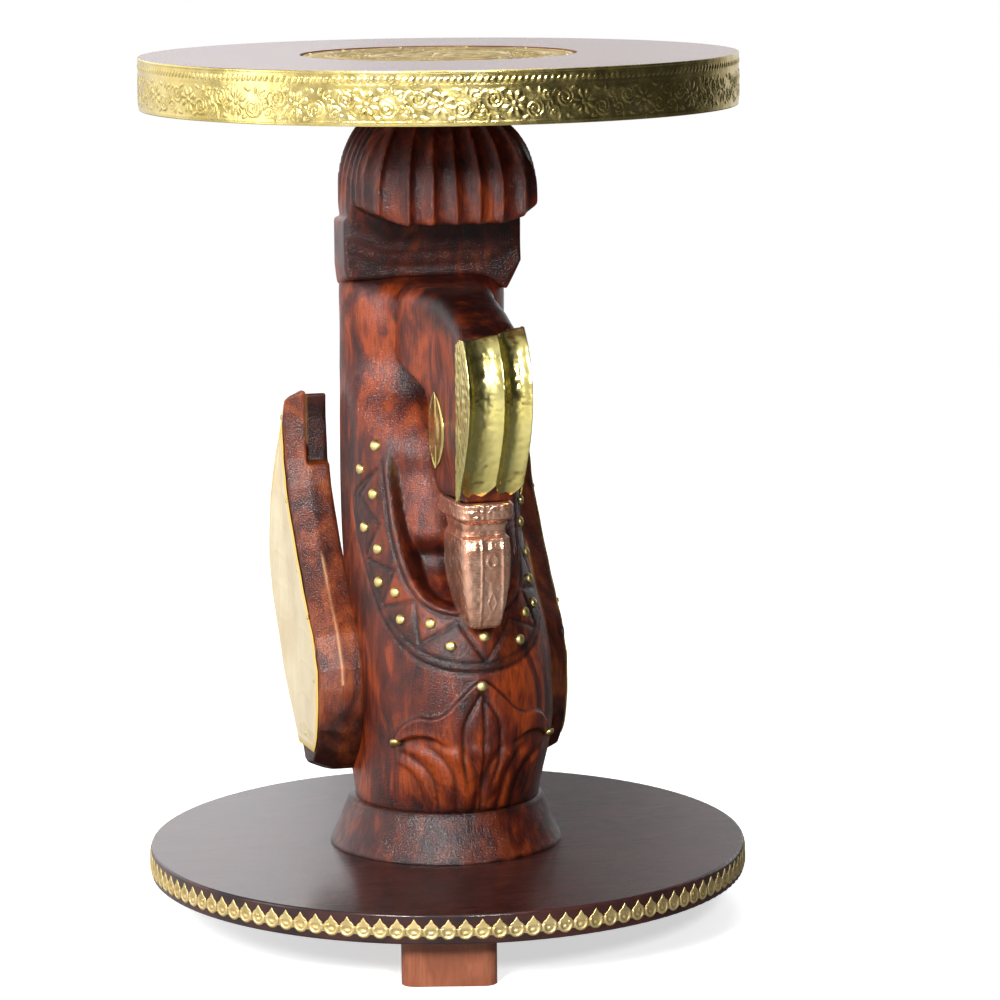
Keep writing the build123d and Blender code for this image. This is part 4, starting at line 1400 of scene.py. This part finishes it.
def build_wing(side):
    """One wing board."""
    node = hand_name(side) + "_wing"
    xs = sorted([side * (WING_MIDDLE - WING_HALF), side * (WING_MIDDLE + WING_HALF)])
    verts, faces = carve(wing_field(side), (xs[0] - 1, -4, 80), (xs[1] + 1, 93, 279), cell=0.95)
    x, y, z = verts.T
    out = np.abs(x) - WING_MIDDLE
    # Darker towards the foot, and painted shade on the inner edge facet beside the column.
    stain_and_shade = smoothstep(117.0, 107.0, z + 3 * np.sin(y / 5)) + 0.35 * smoothstep(0, -6, out + 6)
    # Painted shade on the stub's cut-back inner half.
    stain_and_shade += smoothstep(237.0, 239.0, z) * smoothstep(1, -1, out)
    # The right board is painted darker all over: painted shade on the side turned from the light.
    if side > 0:
        stain_and_shade += 0.55
    # The varnish is rubbed thin along the ridge of the edge.
    wear = bump(out, 0.0, 0.6) * smoothstep(0.1, 0.5, value_noise(z / 17.0, 0.0, 0.0, SEED + 22))
    add_piece(node + "_carved", verts, faces, WING, node,
              {"stain_and_shade": np.clip(stain_and_shade, 0, 1), "wear": wear})


PLINTH_FOOT = 62.4
PLINTH_TAPER = 11.2
PLINTH_SHIFT = -0.8


def build_plinth():
    """The turned plinth round the column's foot, its sides slightly hollow and hand-rasped."""
    low, high = PLINTH_LOW[2], PLINTH_HIGH[2]
    sides, rows = 260, 44
    share, angles = np.meshgrid(np.linspace(0.0, 1.0, rows), circle(sides), indexing="ij")
    profile = PLINTH_FOOT - PLINTH_TAPER * share**0.82
    profile = profile - 0.5 * smoothstep(0.93, 1.0, share) - 0.8 * smoothstep(0.06, 0.0, share)
    c, s = np.cos(angles), np.sin(angles)
    uneven = 0.45 * value_noise(4 * c, 4 * s, 3 * share, SEED + 20)
    uneven += 0.15 * value_noise(22 * c, 22 * s, 9 * share, SEED + 21)
    verts = revolved(profile + np.minimum(uneven, 0.35) - 0.1, angles, low + (high - low) * share)
    verts[:, 0] += PLINTH_SHIFT
    # Darker all over, most at the top and at the foot.
    stain_and_shade = (0.55 + 0.4 * smoothstep(0.75, 1.0, share) + 0.5 * smoothstep(0.15, 0.0, share)).ravel()
    add_piece("plinth_turned", verts, tube_faces(rows, sides), CARVED, "plinth_ring",
              {"stain_and_shade": stain_and_shade})


# ------------------------------------------------------------------ brass pieces
def build_studs():
    """The domed studs of the collar and the star."""
    for name, node, places in (
        ("collar_studs", "necklace_studs", [*LEFT_STUDS, *FRONT_STUD, *RIGHT_STUDS]),
        ("star_stud_heads", "star_studs", STAR_STUDS),
    ):
        points, directions = seats_on(column_field, places)
        add_heads(name, node, points, directions, radius=2.95, height=2.0, sink=0.6, sides=20)


# Where the tacks stand: distance from the axis, and degrees round it.
BAND_TACKS, BAND_SEAM = 154.35, -137.0
LACE_TACKS, FIRST_LACE_TACK = 157.5, -99.5
MEDALLION_TACKS = 68.0
# Y and Z of the tacks of one wing plate.
WING_TACKS = [
    (68, 262), (60, 218), (82, 200), (40, 184), (78, 168), (20, 162), (62, 140), (9, 130), (28, 98),
]


def tacks_round(name, node, distance, degrees, heights, radius, height):
    """Tack heads that face outwards on a circle round the axis."""
    angles = np.radians(degrees)
    ways = np.stack([np.cos(angles), np.sin(angles), 0 * angles], axis=1)
    places = ways * distance
    places[:, 2] = heights
    add_heads(name, node, places, ways, radius, height)


def build_tacks():
    """Small round tack heads, at the places of the CAD tacks."""
    heights = BAND_LOW[2] + np.array([0.12, 0.37, 0.63, 0.88]) * BAND_HEIGHT
    tacks_round("band_tack_heads", "band_tacks", BAND_TACKS, [BAND_SEAM] * 4, heights, 1.3, 0.55)
    degrees = FIRST_LACE_TACK + 15.0 * np.arange(24)
    middle = 0.5 * (LACE_LOW[2] + LACE_HIGH[2])
    tacks_round("lace_tack_heads", "lace_tacks", LACE_TACKS, degrees, middle, 1.1, 0.6)
    angles = circle(12)[None, :]
    places = revolved(0 * angles + MEDALLION_TACKS, angles, 0 * angles + DISC_HIGH[2] - 0.6)
    ways = [np.eye(3)[2]] * len(places)
    add_heads("medallion_tack_heads", "medallion_tacks", places, ways, radius=1.3, height=0.5)
    out = WING_PLATE_HIGH[0] - 0.65
    places = [np.array([side * out, y, z]) for side in (-1, 1) for y, z in WING_TACKS]
    ways = [np.sign(place[0]) * np.eye(3)[0] for place in places]
    add_heads("wing_tack_heads", "wing_plate_tacks", places, ways, radius=1.3, height=0.5)


# ------------------------------------------------------------------ stage
# The camera, fitted to the photograph's two discs, in degrees and millimetres, and the
# direction to its right as X and Y.
RIGHTWARDS = (0.956, -0.292)
CAMERA_TURN = -17.0
CAMERA_PITCH = -9.525
CAMERA_ROLL = -0.554
CAMERA_DISTANCE = 2062.4
CAMERA_HEIGHT = 569.4
CAMERA_AIM = 0.821
CAMERA_LENS = 143.4


def build_floor():
    """A round sheet of paper: white to the camera, and lit more at the left in reflections."""
    sides, radii = 96, (0.5, 1.0, 1.6, 2.2)
    verts = [(0.0, 0.0, 0.0)]
    verts += [(r * math.cos(a), r * math.sin(a), 0.0) for r in radii for a in circle(sides)]
    faces = [(0, 1 + k, 1 + (k + 1) % sides) for k in range(sides)]
    faces += (loop_faces(len(radii), sides, False, True)[:, [0, 3, 2, 1]] + 1).tolist()
    mesh = bpy.data.meshes.new("floor")
    mesh.from_pydata(verts, [], faces)
    paper = Shader("pale_paper")
    tone = paper.ramp(paper.noise(3.0), [(0.3, (0.93, 0.93, 0.93)), (0.7, (0.95, 0.95, 0.95))])
    seen = paper.add("LightPath").outputs["Is Camera Ray"]
    across = paper.add("SeparateXYZ", {0: paper.place((1, 1, 1))}).outputs["X"]
    lit_side = paper.blend(paper.level(across, -0.25, 0.2), (0.55, 0.54, 0.53), (0.10, 0.10, 0.10))
    tone = paper.blend(seen, lit_side, tone)
    paper.set(Base_Color=tone, Roughness=0.9, Emission_Color=(1.0, 1.0, 1.0, 1.0), Specular_IOR_Level=0.1)
    paper.set(Emission_Strength=paper.product(seen, 0.6))
    mesh.materials.append(paper.material)
    add_object("floor", mesh)


def build_camera():
    """The camera at the photograph's angle."""
    data = bpy.data.cameras.new("camera")
    data.lens = CAMERA_LENS
    data.clip_end = 50.0
    camera = add_object("camera", data)
    turn = math.radians(CAMERA_TURN)
    away = Vector((math.sin(turn), -math.cos(turn), 0.0)) * CAMERA_DISTANCE
    camera.location = (away + Vector((0.0, 0.0, CAMERA_HEIGHT))) * MM
    steps = (
        (turn - math.radians(CAMERA_AIM), "Z"),
        (math.radians(90.0 + CAMERA_PITCH), "X"),
        (math.radians(CAMERA_ROLL), "Z"),
    )
    heading, pitch, roll = (Matrix.Rotation(angle, 4, axis) for angle, axis in steps)
    camera.rotation_euler = (heading @ pitch @ roll).to_euler()
    bpy.context.scene.camera = camera


def area_light(name, place, target, size, power):
    """A soft light at a place, facing a target, in millimetres and watts."""
    data = bpy.data.lights.new(name, "AREA")
    data.shape = "RECTANGLE"
    data.size, data.size_y = size[0] * MM, size[1] * MM
    data.energy = power
    light = add_object(name, data)
    light.location = Vector(place) * MM
    light.rotation_euler = (Vector(target) - Vector(place)).to_track_quat("-Z", "Y").to_euler()


def build_light():
    """A frontal key and fill, a weak panel at the left, a soft ceiling, and a pale room."""
    area_light("key", (-1150, -1480, 1050), (0, 0, 240), (420, 420), 36)
    area_light("front", (-150, -1980, 1000), (0, 0, 260), (260, 260), 22)
    area_light("left_panel", (-2100, -100, 700), (0, 0, 230), (700, 1500), 9)
    area_light("top_panel", (-100, -200, 2300), (0, 0, 200), (1600, 1600), 18)
    world = bpy.data.worlds.new("room")
    bpy.context.scene.world = world
    world.use_nodes = True
    room = Nodes(world.node_tree)

    def rise(value, low, high):
        """0 at low, 1 at high, smooth between."""
        return room.level(value, low, high, ease="SMOOTHSTEP")

    split = room.add("SeparateXYZ", {0: room.add("TexCoord").outputs["Generated"]})
    x, y, z = (split.outputs[axis] for axis in "XYZ")
    rightwards = room.total(*(room.product(*pair) for pair in zip((x, y), RIGHTWARDS)))
    # Windows at the left, a low wall behind, panels behind that the glossy discs mirror.
    panel = room.product(rise(y, 0.2, 0.7), rise(z, 0.6, 0.4), rise(z, 0.09, 0.15))
    light = room.total(
        room.product(rise(x, -0.1, -0.8), 0.5),
        room.product(rise(y, 0.2, 0.8), rise(z, 0.22, 0.12), 0.8),
        room.product(panel, rise(rightwards, -0.010, -0.034), 1.5),
        room.product(panel, rise(rightwards, 0.04, 0.075), 0.5),
        room.product(rise(z, 0.5, 0.9), 0.25),
        0.03,
    )
    background = room.tree.nodes["Background"]
    room.join((1.0, 0.98, 1.0, 1.0), background.inputs["Color"])
    room.join(room.math("MINIMUM", light, 1.8), background.inputs["Strength"])
    white = room.add("Background", {"Color": (1.0, 1.0, 1.0, 1.0), "Strength": 1.0})
    seen = room.add("LightPath").outputs["Is Camera Ray"]
    share = room.add("MixShader", {0: seen, 1: background.outputs[0], 2: white.outputs[0]})
    room.join(share.outputs[0], room.tree.nodes["World Output"].inputs["Surface"])
    bpy.context.scene.view_settings.view_transform = "Standard"


def dress_cad_nodes():
    """Give the CAD solids that stay in view their materials."""
    finishes = {
        "table_top": TOP,
        "base_disc": BASE,
        **dict.fromkeys(("foot_front", "foot_right", "foot_left"), FEET),
        **dict.fromkeys(("top_screws", "wing_screws", "base_screws", "foot_screws"), STEEL),
        **dict.fromkeys(("tail_dowels", "neck_dowels"), BARE),
    }
    for name, material in finishes.items():
        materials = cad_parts[name].data.materials
        if not materials:
            materials.append(material)
        for index in range(len(materials)):
            materials[index] = material


build_column()
build_head()
build_tail()
for hand in (-1, 1):
    build_wing(hand)
    build_wing_plate(hand)
    build_eye(hand)
build_plinth()
build_band()
build_lace()
build_medallion()
build_crest()
build_ring()
build_beak()
build_studs()
build_tacks()
build_floor()
build_camera()
build_light()
dress_cad_nodes()
